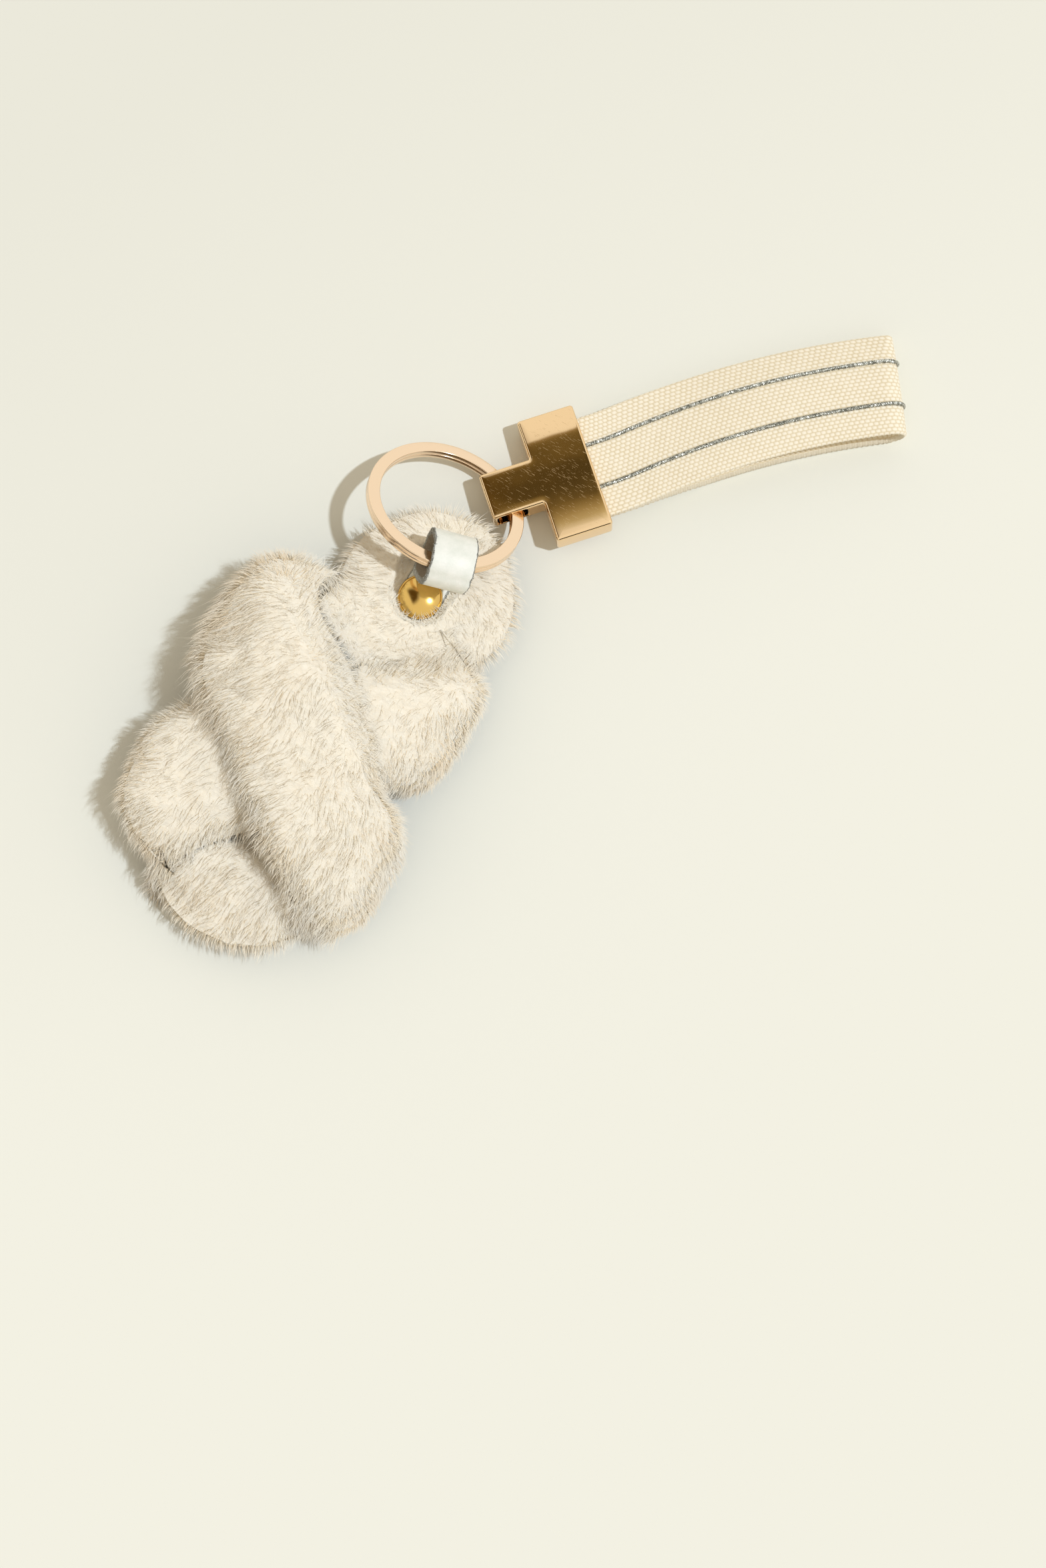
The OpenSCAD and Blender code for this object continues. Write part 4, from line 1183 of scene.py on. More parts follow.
def webbing_mesh(outer=116, inner=30, steps=(300, 36)):
    """The band as one closed tube: a woven outer face, a plainer inner face, and turned selvedges."""
    w, t = WEB_W / 2, WEB_T / 2
    ks = np.linspace(-w, w, outer)
    place, run = web_rows(ks, steps)
    down = np.gradient(place, axis=0)
    over = np.gradient(place, axis=1)
    normal = unit(np.cross(over, down))
    k = ks[None, :] + 0 * run
    edge = np.clip((w - np.abs(k)) / 0.5, 0, 1)
    seat = np.clip(np.minimum(np.abs(k - CORD_PITCH / 2), np.abs(k + CORD_PITCH / 2)) / 0.5, 0, 1)
    bump = weave_height(run, k) * 0.11 * (0.25 + 0.75 * seat)
    fuzz = drift(place, 0.9, 41, 1)[..., 0] * 0.02
    top = place + normal * ((t - 0.10) * np.sqrt(edge * (2 - edge)) + bump * edge + fuzz)[..., None]
    pick = np.linspace(outer - 1, 0, inner).round().astype(int)
    bottom = place[:, pick] - normal[:, pick] * ((t - 0.08) * np.sqrt(np.clip(edge[:, pick], 0.02, 1))
                                                 + weave_height(run[:, pick], k[:, pick]) * 0.05)[..., None]
    bottom = bottom[:, 1:-1]
    grid = np.concatenate([top, bottom], 1)
    # Selvedge: the weft turns back once a pick, which scallops both edges
    turns = np.cos(2 * np.pi * run[:, [0, -1]] / WARP_MM) * 0.10
    grid[:, 0] += unit(place[:, 0] - place[:, 1]) * turns[:, :1]
    grid[:, outer - 1] += unit(place[:, -1] - place[:, -2]) * turns[:, 1:]
    grid[..., 2] = np.maximum(grid[..., 2], 0.05)
    maps = np.concatenate([np.stack([run, k], -1), np.stack([run[:, pick], k[:, pick] + 40], -1)[:, 1:-1]], 1)
    return grid, maps


def webbing_material():
    """Cotton webbing, plain woven from thick ring-spun yarn: cream and matt, with painted shade between the yarns and
    a lighter colour on their crowns.
    """
    material, tree, body = shader("woven_cotton_webbing", Roughness=0.9, Specular_IOR_Level=0.15,
                                  Sheen_Weight=0.25, Sheen_Roughness=0.5)
    weave = add(tree, "ShaderNodeUVMap", uv_map="WeaveMap")
    parts = add(tree, "ShaderNodeSeparateXYZ", {0: weave.outputs[0]})
    place = place_in_mm(tree)
    # Depth of each yarn in its gap, from the same brick order as the mesh
    k = arithmetic(tree, "MULTIPLY_ADD", parts.outputs["Y"], WEB_MAP / WEFT_MM, 1000.0)
    s = arithmetic(tree, "MULTIPLY", parts.outputs["X"], WEB_MAP / WARP_MM)
    odd = arithmetic(tree, "MULTIPLY", arithmetic(tree, "FLOOR", k), 0.5)
    across = arithmetic(tree, "FRACT", k)
    along = arithmetic(tree, "FRACT", arithmetic(tree, "ADD", s, odd))
    waves = [arithmetic(tree, "SINE", arithmetic(tree, "MULTIPLY", value, math.pi))
             for value in (across, along)]
    cell = arithmetic(tree, "MULTIPLY", *waves)
    slub = noise(tree, place, 3.0, 3)
    fibre = noise(tree, place, 0.16, 3, 0.7)
    painted_shade_and_tone = arithmetic(tree, "ADD", cell, arithmetic(tree, "MULTIPLY_ADD", slub, 0.35, -0.175))
    settings = bpy.context.scene.charm_webbing
    # Painted shade in the gaps between the yarns and lighter colour on their crowns, from the same cells as the bump,
    # with a slub's random tone
    paint(tree, body, painted_shade_and_tone, [(0.05, settings.gap), (0.45, settings.yarn), (0.95, settings.crown)])
    relief(tree, body, arithmetic(tree, "ADD", cell, fibre), 0.05, 0.6)
    return material


def yarn_mesh(side, plies=3, sides=6, steps=(420, 40)):
    """A metallic cord couched on the webbing: three plies, twisted, over its whole length."""
    k = side * CORD_PITCH / 2
    ks = np.array([k - 0.3, k, k + 0.3])
    place, run = web_rows(ks, steps)
    line, along = place[:, 1], run[:, 1]
    over = unit(place[:, 2] - place[:, 0])
    down = unit(np.gradient(line, axis=0))
    normal = unit(np.cross(over, down))
    # Even spacing along the cord, fine enough for its twist
    even = np.arange(0, along[-1], 0.2)
    line, over, normal = (np.stack([np.interp(even, along, v[:, i]) for i in range(3)], 1)
                          for v in (line, over, normal))
    base = line + normal * (WEB_T / 2 + 0.16)
    lay, r, ply_r = 1.5, 0.22, 0.26
    points, faces = [], []
    for p in range(plies):
        a = 2 * np.pi * (even / lay * side + p / plies)
        core = base + over * (np.cos(a) * r * 1.2)[:, None] + normal * (np.sin(a) * r * 0.8)[:, None]
        way = unit(np.gradient(core, axis=0))
        b = unit(np.cross(way, over))
        c = np.cross(way, b)
        turn = (2 * np.pi * np.arange(sides) / sides)[None, :, None]
        grid = core[:, None] + (np.cos(turn) * b[:, None] + np.sin(turn) * c[:, None]) * ply_r
        grid[..., 2] = np.maximum(grid[..., 2], 0.03)
        own, made = closed_tube(grid)
        faces += [[i + p * len(own) for i in f] for f in made]
        points.append(own)
    return np.concatenate(points), faces


# ---------- operators' settings ----------

class WoolSettings(bpy.types.PropertyGroup):
    """The sheared wool on the footbed and the straps."""
    density: bpy.props.FloatProperty(name="Density", description="Share of the full number of strands", default=1.0,
                                     min=0.1, max=2.0, subtype="FACTOR")
    length: bpy.props.FloatProperty(name="Length", description="Length of the strands against the real pile's",
                                    default=1.0, min=0.5, max=1.5)
    tuft_mm: bpy.props.FloatProperty(name="Tuft", description="Width of a tuft, in millimetres", default=2.4, min=1.0,
                                     max=6.0)
    pale: bpy.props.StringProperty(name="Pale", description="sRGB hex colour of the palest strands",
                                   default="#FFFBEF")
    cream: bpy.props.StringProperty(name="Cream", description="sRGB hex colour of most strands", default="#FFF5E0")
    warm: bpy.props.StringProperty(name="Warm", description="sRGB hex colour of the warmest strands",
                                   default="#FDEBCE")
    # Painted shade at the strands' roots
    root_shade: bpy.props.StringProperty(name="Root shade", description="sRGB hex colour that darkens the roots",
                                         default="#FBF1DF")
    undercoat: bpy.props.StringProperty(name="Undercoat", description="sRGB hex colour of the felted fibres",
                                        default="#FFF7E5")
    # Painted shade between the fibres, and a random darker tone between staples
    undercoat_dark: bpy.props.StringProperty(name="Undercoat dark", description="sRGB hex colour between staples",
                                             default="#FBEFD8")


class WebbingSettings(bpy.types.PropertyGroup):
    """The woven band's colours."""
    # Painted light on the yarns' crowns
    crown: bpy.props.StringProperty(name="Crown", description="sRGB hex colour of the yarns' crowns",
                                    default="#FFF6E2")
    yarn: bpy.props.StringProperty(name="Yarn", description="sRGB hex colour of the yarns' sides", default="#FBEFD6")
    # Painted shade in the gaps between the yarns
    gap: bpy.props.StringProperty(name="Gap", description="sRGB hex colour between the yarns", default="#E6D6B4")


class MetalSettings(bpy.types.PropertyGroup):
    """Plating colours of the ring, the clasp and the rivet."""
    casting: bpy.props.StringProperty(name="Casting", description="sRGB hex colour of the clasp's plating",
                                      default="#F3D2A4")
    wire: bpy.props.StringProperty(name="Wire", description="sRGB hex colour of the ring's plating",
                                   default="#F6DBBC")
    rivet: bpy.props.StringProperty(name="Rivet", description="sRGB hex colour of the rivet's plating",
                                    default="#E0B868")
    silver: bpy.props.StringProperty(name="Silver", description="sRGB hex colour of the metallic yarn",
                                     default="#A3A298")


class StageSettings(bpy.types.PropertyGroup):
    """The floor and the light."""
    floor: bpy.props.StringProperty(name="Floor", description="sRGB hex colour of the floor", default="#F1F0E4")
    # Painted shade that darkens the floor's far left
    floor_far: bpy.props.StringProperty(name="Floor, far left", description="sRGB hex colour of the floor's far left",
                                        default="#E9E8DC")
    sun: bpy.props.FloatProperty(name="Sun", description="Strength of the low sun", default=1.72, min=0, max=5)
    sun_width: bpy.props.FloatProperty(name="Sun width", description="Angle that the sun spans in the sky",
                                       default=math.radians(2.0), subtype="ANGLE")


# ---------- operators ----------

class CHARM_OT_sole(bpy.types.Operator):
    """Finish the outsole, the insole board, the footbed's hide and the rivet's base"""
    bl_idname = "charm.sole"
    bl_label = "Sole"

    def execute(self, context):
        # EVA sheet, moulded and skived: a matt taupe skin with a fine grain
        rubber, tree, body = shader("moulded_eva_rubber", Roughness=0.75, Specular_IOR_Level=0.3)
        place = place_in_mm(tree)
        grain = noise(tree, place, 0.35, 3, 0.6)
        paint(tree, body, noise(tree, place, 5.0, 3), [(0.3, "#8E7B64"), (0.7, "#A38F77")])
        relief(tree, body, grain, 0.12)
        # Pressed cellulose board: mottled, fibrous and dull
        board, tree, body = shader("pressed_fibre_board", Roughness=0.9)
        fibre = noise(tree, place_in_mm(tree), 0.5, 4, 0.7)
        paint(tree, body, fibre, [(0.3, "#B49A70"), (0.7, "#D3BC92")])
        relief(tree, body, fibre, 0.08)
        hide = hide_material()
        # Nickel-plated brass, turned: bright with faint rings of tool marks
        plate = polished_metal("nickel_plated_brass", "#D8D2C4", 0.22)
        brass = polished_metal("gilt_brass", bpy.context.scene.charm_metal.rivet, 0.14)
        for node_name, material in (("outsole", rubber), ("insole_board", board), ("footbed_hide", hide),
                                    ("rivet_base", brass), ("clasp_screws", plate)):
            made = frame["nodes"][node_name]
            made.data.materials.clear()
            made.data.materials.append(material)
        return {"FINISHED"}


def hide_material():
    """Sheepskin's suede side: velvety, warm, its cut edge a little yellow."""
    if "sheepskin_suede" in bpy.data.materials:
        return bpy.data.materials["sheepskin_suede"]
    hide, tree, body = shader("sheepskin_suede", Roughness=0.9, Specular_IOR_Level=0.15, Sheen_Weight=0.3)
    nap = noise(tree, place_in_mm(tree), 0.3, 4, 0.7)
    paint(tree, body, nap, [(0.3, "#C9AD78"), (0.7, "#E6D2A6")])
    relief(tree, body, nap, 0.1)
    return hide


class CHARM_OT_footbed(bpy.types.Operator):
    """Grow the footbed's wool round the rivet's hollow"""
    bl_idname = "charm.footbed"
    bl_label = "Footbed wool"

    def execute(self, context):
        undercoat = wool_materials()[1]
        grid = wool_grids()["footbed"]
        points, faces = grid.reshape(-1, 3), [list(f) for f in quads(*grid.shape[:2], close_columns=True)]
        faces.append(list(range(grid.shape[1]))[::-1])
        made = piece("footbed_undercoat", points, faces, [undercoat], "slipper", ["footbed_fleece"])
        outward(made, merge=0.005)
        soften(made)
        y, z = grid[..., 1], grid[..., 2]
        bowl = bowl_depth(grid[..., :2])
        # Sparse under the straps, which cover it
        covered = smooth(y, -34, -24) * (1 - smooth(y, 8, 15)) * (z > 8.6)
        share = np.where(z > PILE_Z + 0.3, 1.0, 0.0) * (1 - 0.85 * covered) * np.where(bowl > 0.06, 0, 1)
        grow("footbed_pile", grid, share, 7500, 2.8, 100, comb_of=footbed_comb, gather=0.35,
             length_of=lambda p: 1 + 0.3 * bell(p[:, 1], 18, 6) + 0.05 * smooth(-p[:, 1], 30, 42)
             + 0.8 * bell(p[:, 0], -17, 5) * bell(p[:, 1], 23, 6))
        # Short wool pressed flat in the hollow, brushed away from the rivet
        clear = np.linalg.norm(grid[..., :2] - RIVET, axis=-1) > CAP_D / 2 + 0.9
        share = np.where((z > 7) & (bowl >= 0.06) & clear, 1.0, 0.0)
        grow("bowl_pile", grid, share, 500, 1.7, 140, stand=0.5, comb=0.55, width=0.12, pale=0.25,
             comb_of=lambda p: unit(np.c_[p[:, :2] - RIVET, 0.5 + 0 * p[:, 0]]))
        return {"FINISHED"}


class CHARM_OT_rim_hairs(bpy.types.Operator):
    """Lay a few of the hollow's hairs over the near rim of the rivet's cap"""
    bl_idname = "charm.rim_hairs"
    bl_label = "Hairs over the rivet"

    def execute(self, context):
        context.view_layer.update()
        wool = bpy.data.objects["footbed_undercoat"]
        tree = BVHTree.FromPolygons([wool.matrix_world @ v.co for v in wool.data.vertices],
                                    [tuple(face.vertices) for face in wool.data.polygons])
        near, _ = on_surface(context.scene.camera, *POINTS["rim_hairs"][0], tree)
        count = 30
        rng = np.random.default_rng(150)
        side = np.array(near)[:2] / MM - RIVET
        heading = math.atan2(side[1], side[0]) + np.linspace(-0.95, 0.95, count) + rng.normal(size=count) * 0.06
        out = np.c_[np.cos(heading), np.sin(heading), 0 * heading]
        root = np.array([*RIVET, 0.0]) + out * (CAP_D / 2 + rng.uniform(0.3, 0.9, (count, 1)))
        for place in root:
            hit = tree.ray_cast(Vector((place[0], place[1], 30.0)) * MM, Vector((0, 0, -1)))[0]
            place[2] = hit.z / MM
        over = rng.uniform(0.8, 1.3, (count, 1))
        across = np.c_[-out[:, 1], out[:, 0], 0 * heading] * rng.normal(size=(count, 1)) * 0.45
        middle = root - out * 0.55 * over + across * 0.3
        middle[:, 2] = np.maximum(middle[:, 2] + 1.1, CAP_Z + 0.55)
        tip = root - out * 1.7 * over + across
        tip[:, 2] = np.maximum(tip[:, 2] + 1.7, CAP_Z + 1.35)
        mesh = strands_mesh("bowl_rim_hairs", root, middle, tip, np.full(count, 0.13), np.full(count, 0.85),
                            np.broadcast_to(UP, root.shape))
        finish_piece("bowl_rim_hairs", mesh, [wool_materials()[0]], "slipper")
        return {"FINISHED"}


def footbed_comb(root):
    """The heel's wool lies outwards from the rivet, the toe's wool forwards."""
    away = unit(np.c_[root[:, :2] - RIVET, 0 * root[:, 0]])
    heel = smooth(root[:, 1], 10, 26)[:, None]
    return unit(np.broadcast_to(COMB, root.shape) * (1 - 0.65 * heel) + away * heel * 0.5)


def outward(made, merge=0.0):
    """Turns all faces outwards, with points nearer than merge millimetres made one."""
    work = bmesh.new()
    work.from_mesh(made.data)
    if merge:
        bmesh.ops.remove_doubles(work, verts=work.verts, dist=merge * MM)
    bmesh.ops.recalc_face_normals(work, faces=work.faces)
    # A piece that crosses itself may come out turned: its highest point looks up
    work.normal_update()
    if max(work.verts, key=lambda v: v.co.z).normal.z < 0:
        bmesh.ops.reverse_faces(work, faces=work.faces)
    work.to_mesh(made.data)
    work.free()


class CHARM_OT_straps(bpy.types.Operator):
    """Grow the two crossed straps: skin, undercoat and wool"""
    bl_idname = "charm.straps"
    bl_label = "Crossed straps"

    def execute(self, context):
        undercoat, hide = wool_materials()[1], hide_material()
        for name, strap in STRAPS.items():
            points, faces = closed_tube(hide_grid(strap))
            skin = piece(f"{name}_skin", points, faces, [hide], "slipper", [f"{name}_hide"])
            outward(skin)
            sharpen(skin, 60)
            grid = wool_grids()[name]
            points, faces = closed_tube(grid)
            made = piece(f"{name}_undercoat", points, faces, [undercoat], "slipper", [f"{name}_fleece"])
            outward(made)
            soften(made)
            top, front, back = np.zeros((3, *grid.shape[:2]))
            along, seed = np.linspace(0, 1, len(grid))[:, None], strap["seed"]
            top[:, TOP_COLUMNS] = 1
            if name == "under_strap":
                # Sparse under the other strap, which covers it
                top *= 1 - 0.7 * smooth(0.19 - np.abs(along - 0.5), 0, 0.05)
            grow(f"{name}_pile", grid, top, strap["strands"], 3.1, seed, length_of=partial(strap_length, name))
            # Loose locks along the front edge, hanging over what lies before it
            front[:, FRONT_COLUMNS] = smooth(along - strap["locks"], 0, 0.12)
            grow(f"{name}_pile_front", grid, front, 2600, 4.8, seed + 50, stand=0.55, comb=0.75, droop=0.5,
                 gather=0.9, pale=0.15)
            # The back edge's wool lies over its neighbour's and hides the join
            back[:, BACK_COLUMNS] = smooth(strap["joins"] - along, 0, 0.08)
            grow(f"{name}_pile_back", grid, back, 700, 3.6, seed + 80, stand=0.6, comb=0.8, droop=0.2,
                 gather=0.5, pale=0.15, comb_of=lambda p: np.broadcast_to(BACK_COMB, p.shape))
        return {"FINISHED"}


class CHARM_OT_rivet(bpy.types.Operator):
    """Turn the rivet's domed cap"""
    bl_idname = "charm.rivet"
    bl_label = "Rivet cap"

    def execute(self, context):
        metal = polished_metal("gilt_brass_cap", context.scene.charm_metal.rivet, 0.14, wave_mm=3.0,
                               wave_depth=0.010, scratches=0.10)
        points, faces = rivet_cap_mesh()
        made = piece("rivet_dome", points, faces, [metal], "slipper", ["rivet_cap"])
        outward(made)
        sharpen(made, 40)
        return {"FINISHED"}


class CHARM_OT_tab(bpy.types.Operator):
    """Fold the leather tab round the split ring"""
    bl_idname = "charm.tab"
    bl_label = "Leather tab"

    def execute(self, context):
        grid, kind = tab_grid()
        points, faces = closed_tube(grid)
        kinds = np.concatenate([np.tile(kind, len(grid) - 1), [2, 2]])
        made = piece("hang_tab_leather", points, faces, list(leather_materials()), "tab", ["hang_tab"],
                     slots_of_faces=kinds)
        outward(made)
        fuzz_edges(grid)
        return {"FINISHED"}


def fuzz_edges(grid):
    """Loose fibres along the leather's cut edges and on its flesh side inside the loop."""
    rng = np.random.default_rng(51)
    columns = grid.shape[1]
    normals = grid_normals(grid)
    rows = np.flatnonzero(grid[:, 0, 2] > TAB_MID_Z + 2.6)
    count = 5200
    i = rng.integers(rows[0], rows[-1], count)
    edge = rng.random(count) < 0.75
    # Columns of the tab's grid at its two cut edges; its flesh side lies between them
    at_edges = np.concatenate([np.arange(12, 18), np.arange(30, 36)])
    j = np.where(edge, at_edges[rng.integers(0, len(at_edges), count)], rng.integers(18, 31, count)) % columns
    u, v = rng.random((2, count, 1))
    a, b = grid[i, j], grid[i + 1, j]
    c, d = grid[i, (j + 1) % columns], grid[i + 1, (j + 1) % columns]
    root = mixed(a, b, c, d, u, v)
    way = unit(normals[i, j] + rng.normal(size=(count, 3)) * 0.75)
    size = rng.uniform(0.15, 0.55, count)[:, None]
    middle = root + way * size * 0.55
    tip = middle + unit(way + rng.normal(size=(count, 3)) * 0.5) * size * 0.5
    fibres, tree, body = shader("loose_leather_fibres", Roughness=0.9, Specular_IOR_Level=0.2)
    across = add(tree, "ShaderNodeSeparateXYZ", {0: add(tree, "ShaderNodeUVMap", uv_map=FLEECE_MAP).outputs[0]})
    paint(tree, body, across.outputs["X"], [(0.1, "#8E8C84"), (0.45, "#CFD0C9"), (0.9, "#F7F7F2")])
    mesh = strands_mesh("hang_tab_cut_fibres", root - way * 0.03, middle, tip,
                        rng.uniform(0.07, 0.13, count), rng.random(count) * 0.9 + 0.05, way)
    finish_piece("hang_tab_cut_fibres", mesh, [fibres], "tab")


class CHARM_OT_ring(bpy.types.Operator):
    """Wind the split ring"""
    bl_idname = "charm.ring"
    bl_label = "Split ring"

    def execute(self, context):
        metal = polished_metal("rose_gold_plated_wire", context.scene.charm_metal.wire, 0.14, wave_mm=6.0,
                               wave_depth=0.004, scratches=0.08)
        points, faces = wire_ring()
        made = piece("split_ring_wire", points, faces, [metal], "ring", ["split_ring"])
        outward(made)
        return {"FINISHED"}


class CHARM_OT_clasp(bpy.types.Operator):
    """Cast the T clasp and cut its eye, mouth and screw holes"""
    bl_idname = "charm.clasp"
    bl_label = "T clasp"

    def execute(self, context):
        metal = polished_metal("rose_gold_plated_casting", context.scene.charm_metal.casting, 0.05, wave_mm=9.0,
                               wave_depth=0.016, scratches=0.20)
        points, faces = casting_mesh()
        made = piece("clasp_casting", moved(points, CLASP_PLACE), faces, [metal], "clasp", ["clasp_body"])
        outward(made)
        eye_h = CLASP_T - 2 * EYE_WALL
        cuts = [rounded_bar(3 * NECK_W, EYE_L, eye_h, 1.2)]
        # The eye widens in three steps towards each side of the neck
        for s in (-1, 1):
            for i in range(3):
                grow_by = 0.16 * (i + 1)
                cuts.append(rounded_bar(2, EYE_L + grow_by, eye_h + 1.5 * grow_by, 1.2,
                                        (0, s * (NECK_W / 2 + 0.55 - 0.15 * (2 - i) + 0.3), 0)))
        cuts.append(rounded_bar(WEB_W + 0.6, MOUTH_DEPTH + 1, MOUTH_H, 0.3,
                                (EYE_TO_BAR + BAR_W - MOUTH_DEPTH / 2 + 0.5, 0, 0)))
        for s in (-1, 1):
            cuts.append(lathed_solid([(SCREW_D / 2 + 0.05, -CLASP_T), (SCREW_D / 2 + 0.05, 0)],
                                     (EYE_TO_BAR + BAR_W - MOUTH_DEPTH / 2, s * SCREW_PITCH / 2), 32))
        cut_away(made, cuts)
        sharpen(made, 34)
        return {"FINISHED"}


class CHARM_OT_webbing(bpy.types.Operator):
    """Weave the webbing loop"""
    bl_idname = "charm.webbing"
    bl_label = "Webbing"

    def execute(self, context):
        grid, maps = webbing_mesh()
        points, faces = closed_tube(grid)
        made = piece("webbing_band", points, faces, [webbing_material()], "clasp", ["webbing_loop"])
        layer = made.data.uv_layers.new(name="WeaveMap")
        corners = np.zeros(len(made.data.loops), np.int32)
        made.data.loops.foreach_get("vertex_index", corners)
        layer.uv.foreach_set("vector", (maps.reshape(-1, 2)[corners] / WEB_MAP).astype(np.float32).ravel())
        outward(made)
        return {"FINISHED"}


class CHARM_OT_yarns(bpy.types.Operator):
    """Lay the two metallic cords on the webbing"""
    bl_idname = "charm.yarns"
    bl_label = "Metallic cords"

    def execute(self, context):
        # Slit metallised film over a polyester core: facets with painted glints, bright between dull ones
        metal, tree, body = shader("metallised_film_yarn", Metallic=0.9, Roughness=0.35)
        place = place_in_mm(tree)
        facet = add(tree, "ShaderNodeTexVoronoi", {"Vector": place, "Scale": 3.2, "Randomness": 1.0},
                    feature="F1")
        painted_glint = add(tree, "ShaderNodeSeparateXYZ", {0: facet.outputs["Color"]}).outputs["X"]
        # Painted glints: each facet's colour runs from dull dark to bright, as reflections on it would
        paint(tree, body, painted_glint, [(0.0, "#6B6A5F"), (0.5, context.scene.charm_metal.silver), (0.95, "#E2E2DA")])
        tree.links.new(span(tree, painted_glint, 0, 1, 0.45, 0.22), body.inputs["Roughness"])
        relief(tree, body, facet.outputs["Distance"], 0.08)
        for side, name in ((-1, "near"), (1, "far")):
            points, faces = yarn_mesh(side)
            made = piece(f"{name}_silver_cord", points, faces, [metal], "clasp", [f"{name}_metallic_cord"])
            outward(made)
        return {"FINISHED"}


class CHARM_OT_stage(bpy.types.Operator):
    """Set the floor, the light and the photograph's camera"""
    bl_idname = "charm.stage"
    bl_label = "Stage"

    def execute(self, context):
        settings = context.scene.charm_stage
        mesh = bpy.data.meshes.new("floor")
        r, z = 6.0, -0.00003
        mesh.from_pydata([(-r, -r, z), (r, -r, z), (r, r, z), (-r, r, z)], [], [(0, 1, 2, 3)])
        floor = bpy.data.objects.new("floor", mesh)
        context.scene.collection.objects.link(floor)
        # Matt paper, with painted shade that makes its far left a little darker
        paper, tree, body = shader("matt_paper_floor", Roughness=1.0, Specular_IOR_Level=0.0)
        away = add(tree, "ShaderNodeVectorMath", {0: place_in_mm(tree), 1: (-0.87, 0.49, 0)},
                   operation="DOT_PRODUCT").outputs["Value"]
        paint(tree, body, span(tree, away, -30, 150), [(0.0, settings.floor), (1.0, settings.floor_far)])
        mesh.materials.append(paper)
        # Cool, against the warm fill in its shadows
        light = bpy.data.lights.new("low_sun", "SUN")
        light.energy, light.angle, light.color = settings.sun, settings.sun_width, (0.86, 0.96, 1.10)
        lamp = bpy.data.objects.new("low_sun", light)
        context.scene.collection.objects.link(lamp)
        towards = (IMAGE_RIGHT * SHADOW_LEFT - IMAGE_UP * SHADOW_UP + Vector((0, 0, 1))).normalized()
        lamp.rotation_euler = towards.to_track_quat("Z", "Y").to_euler()
        set_world(context)
        set_camera(context)
        return {"FINISHED"}


def set_world(context):
    """A soft warm fill for matt surfaces, and a bright studio with one dark flag overhead for polished ones."""
    world = bpy.data.worlds.new("studio")
    context.scene.world = world
    world.use_nodes = True
    tree = world.node_tree
    tree.nodes.clear()
    fill = add(tree, "ShaderNodeBackground", {"Color": (0.60, 0.54, 0.45, 1), "Strength": 1.0})
    direction = add(tree, "ShaderNodeTexCoord").outputs["Generated"]
    # What a level mirror shows: a dark band across the clasp, bright beyond it towards the north, and fading
    # through khaki towards the south; a black card stands low in the south and in the west
    def along(way):
        return add(tree, "ShaderNodeVectorMath", {0: direction, 1: way}, operation="DOT_PRODUCT").outputs["Value"]

    north, east = along((*ACROSS, 0)), along((*ALONG, 0))
    wobble = add(tree, "ShaderNodeTexNoise", {"Vector": direction, "Scale": 5.0, "Detail": 1.0}).outputs["Fac"]
    bent = arithmetic(tree, "MULTIPLY_ADD", wobble, 0.05, north)
    band = ramp(tree, bent, [(0.300, "#FFFDF6"), (0.320, "#E6E2CF"), (0.345, "#C8BF9A"), (0.375, "#AFA178"),
                             (0.405, "#92835A"), (0.424, "#7A6A40"), (0.429, "#2A2412"), (0.433, "#3A2F16"),
                             (0.438, "#6C5C34"), (0.458, "#7A693C"), (0.470, "#967F4A"), (0.476, "#FFFDF6")])
    wide = span(tree, arithmetic(tree, "ABSOLUTE", east), 0.40, 0.48)
    low = span(tree, arithmetic(tree, "MINIMUM", north, east), -0.86, -0.80)
    # The photographer, dark, leaning in from the picture's left, as the domed rivet shows them
    figure = span(tree, along((-0.484, -0.079, 0.872)), 0.88, 0.96)
    band = add(tree, "ShaderNodeMix", {"Factor": figure, 6: band, 7: linear("#5C4820")},
               data_type="RGBA").outputs[2]
    studio = add(tree, "ShaderNodeMix", {"Factor": wide, 6: band, 7: linear("#FFFDF6")}, data_type="RGBA")
    both = add(tree, "ShaderNodeMix", {"Factor": low, 6: linear("#2A2414"), 7: studio.outputs[2]},
               data_type="RGBA")
    mirror = add(tree, "ShaderNodeBackground", {"Color": both.outputs[2], "Strength": 1.0})
    seen = add(tree, "ShaderNodeBackground", {"Color": linear("#F3F1E4"), "Strength": 1.0})
    ray = add(tree, "ShaderNodeLightPath")
    glossy = add(tree, "ShaderNodeMixShader", {0: ray.outputs["Is Glossy Ray"], 1: fill.outputs[0],
                                               2: mirror.outputs[0]})
    final = add(tree, "ShaderNodeMixShader", {0: ray.outputs["Is Camera Ray"], 1: glossy.outputs[0],
                                              2: seen.outputs[0]})
    add(tree, "ShaderNodeOutputWorld", {"Surface": final.outputs[0]})


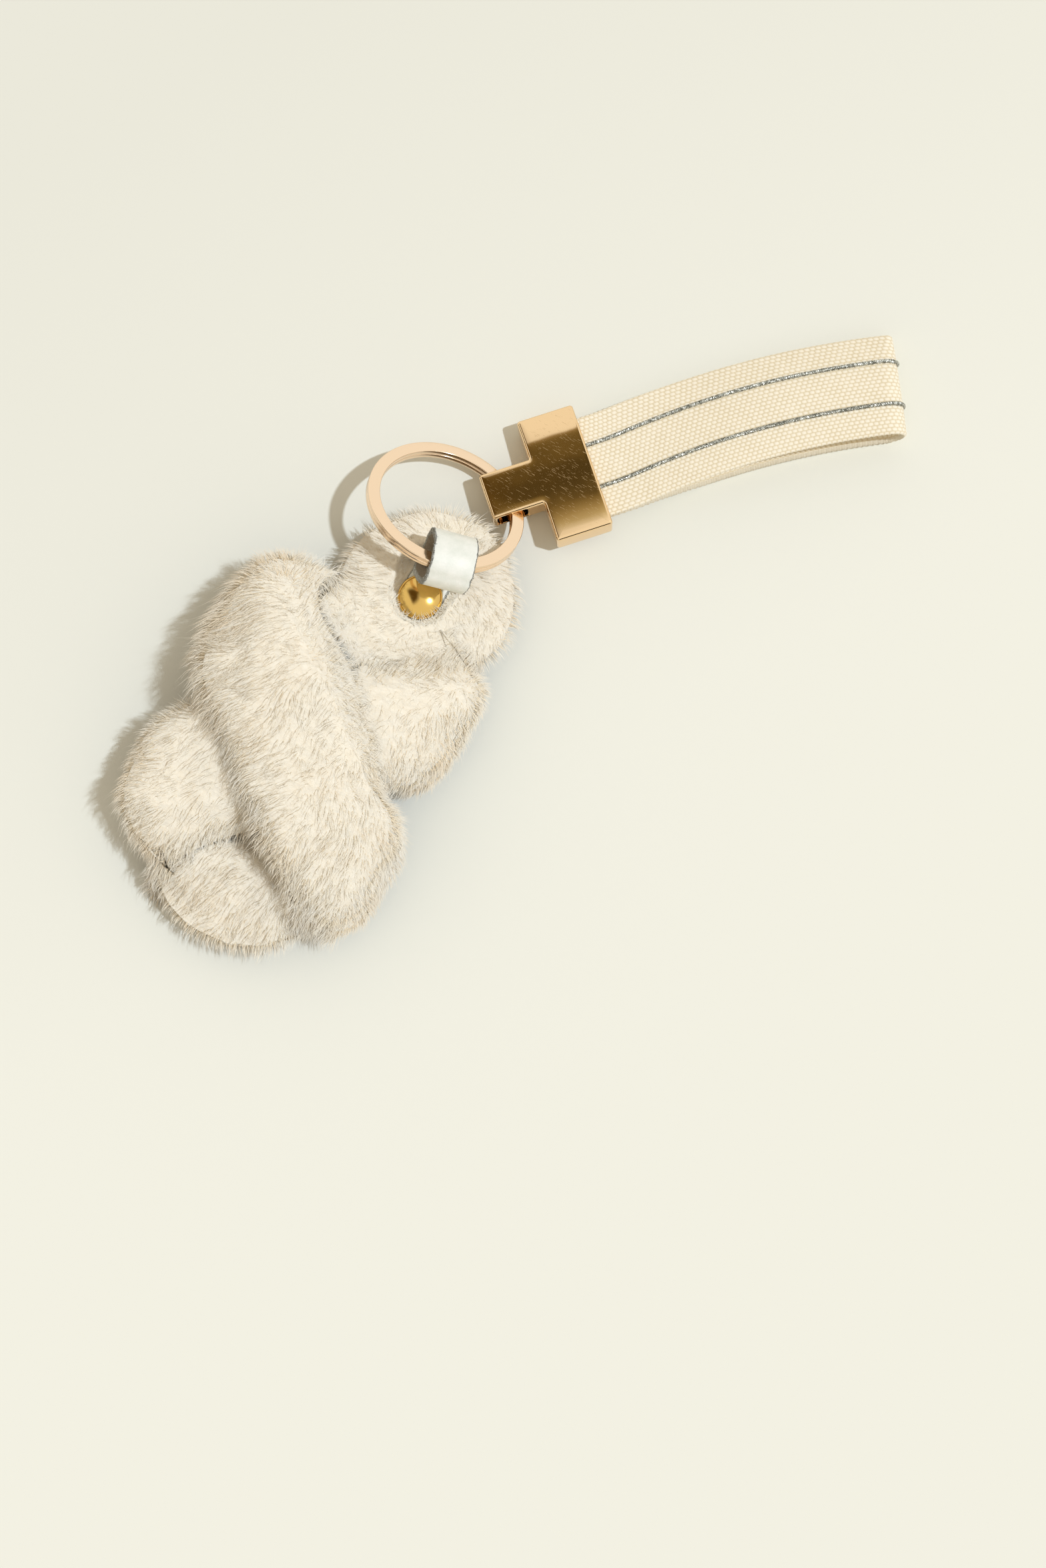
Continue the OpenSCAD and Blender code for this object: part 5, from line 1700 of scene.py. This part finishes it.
def set_camera(context):
    """The photograph's viewpoint: above, a little towards the toe, rolled so that the toe points down left."""
    data = bpy.data.cameras.new("photo_camera")
    data.sensor_fit, data.lens, data.sensor_width = "AUTO", CAMERA_LENS, CAMERA_SENSOR
    data.clip_start, data.clip_end = 0.01, 20
    camera = bpy.data.objects.new("photo_camera", data)
    context.scene.collection.objects.link(camera)
    forward = Vector((0, 0, -math.cos(CAMERA_TILT))) + IMAGE_UP * math.sin(CAMERA_TILT)
    up = IMAGE_RIGHT.cross(forward)
    turned = Matrix((IMAGE_RIGHT, up, -forward)).transposed().to_4x4()
    camera.matrix_world = Matrix.Translation(CAMERA_PLACE) @ turned
    context.scene.camera = camera
    context.scene.view_settings.view_transform = "Standard"


class CHARM_PT_panel(bpy.types.Panel):
    """Lists the charm's settings and its building steps"""
    bl_idname = "CHARM_PT_panel"
    bl_label = "Shearling slipper charm"
    bl_space_type = "VIEW_3D"
    bl_region_type = "UI"
    bl_category = "Charm"

    def draw(self, context):
        for group in SETTINGS:
            box = self.layout.box()
            box.label(text=group.replace("charm_", "").title())
            values = getattr(context.scene, group)
            for key in SETTINGS[group].__annotations__:
                box.prop(values, key)
        for step in STEPS:
            self.layout.operator(step.bl_idname)


SETTINGS = {"charm_wool": WoolSettings, "charm_webbing": WebbingSettings, "charm_metal": MetalSettings,
            "charm_stage": StageSettings}
STEPS = (CHARM_OT_stage, CHARM_OT_sole, CHARM_OT_footbed, CHARM_OT_straps, CHARM_OT_rivet, CHARM_OT_rim_hairs,
         CHARM_OT_tab, CHARM_OT_ring, CHARM_OT_clasp, CHARM_OT_webbing, CHARM_OT_yarns)


def register():
    """Adds the settings, the steps and the panel to Blender."""
    for group in (*SETTINGS.values(), *STEPS, CHARM_PT_panel):
        bpy.utils.register_class(group)
    for key, group in SETTINGS.items():
        setattr(bpy.types.Scene, key, bpy.props.PointerProperty(type=group))


def unregister():
    """Takes them out again."""
    for key in SETTINGS:
        delattr(bpy.types.Scene, key)
    for group in reversed((*SETTINGS.values(), *STEPS, CHARM_PT_panel)):
        bpy.utils.unregister_class(group)


def main():
    """Registers the add-on, builds the scene step by step and finds the vertices that show at the image points."""
    register()
    for step in STEPS:
        group, name = step.bl_idname.split(".")
        getattr(getattr(bpy.ops, group), name)()
    check_points()


if __name__ == "__main__":
    main()
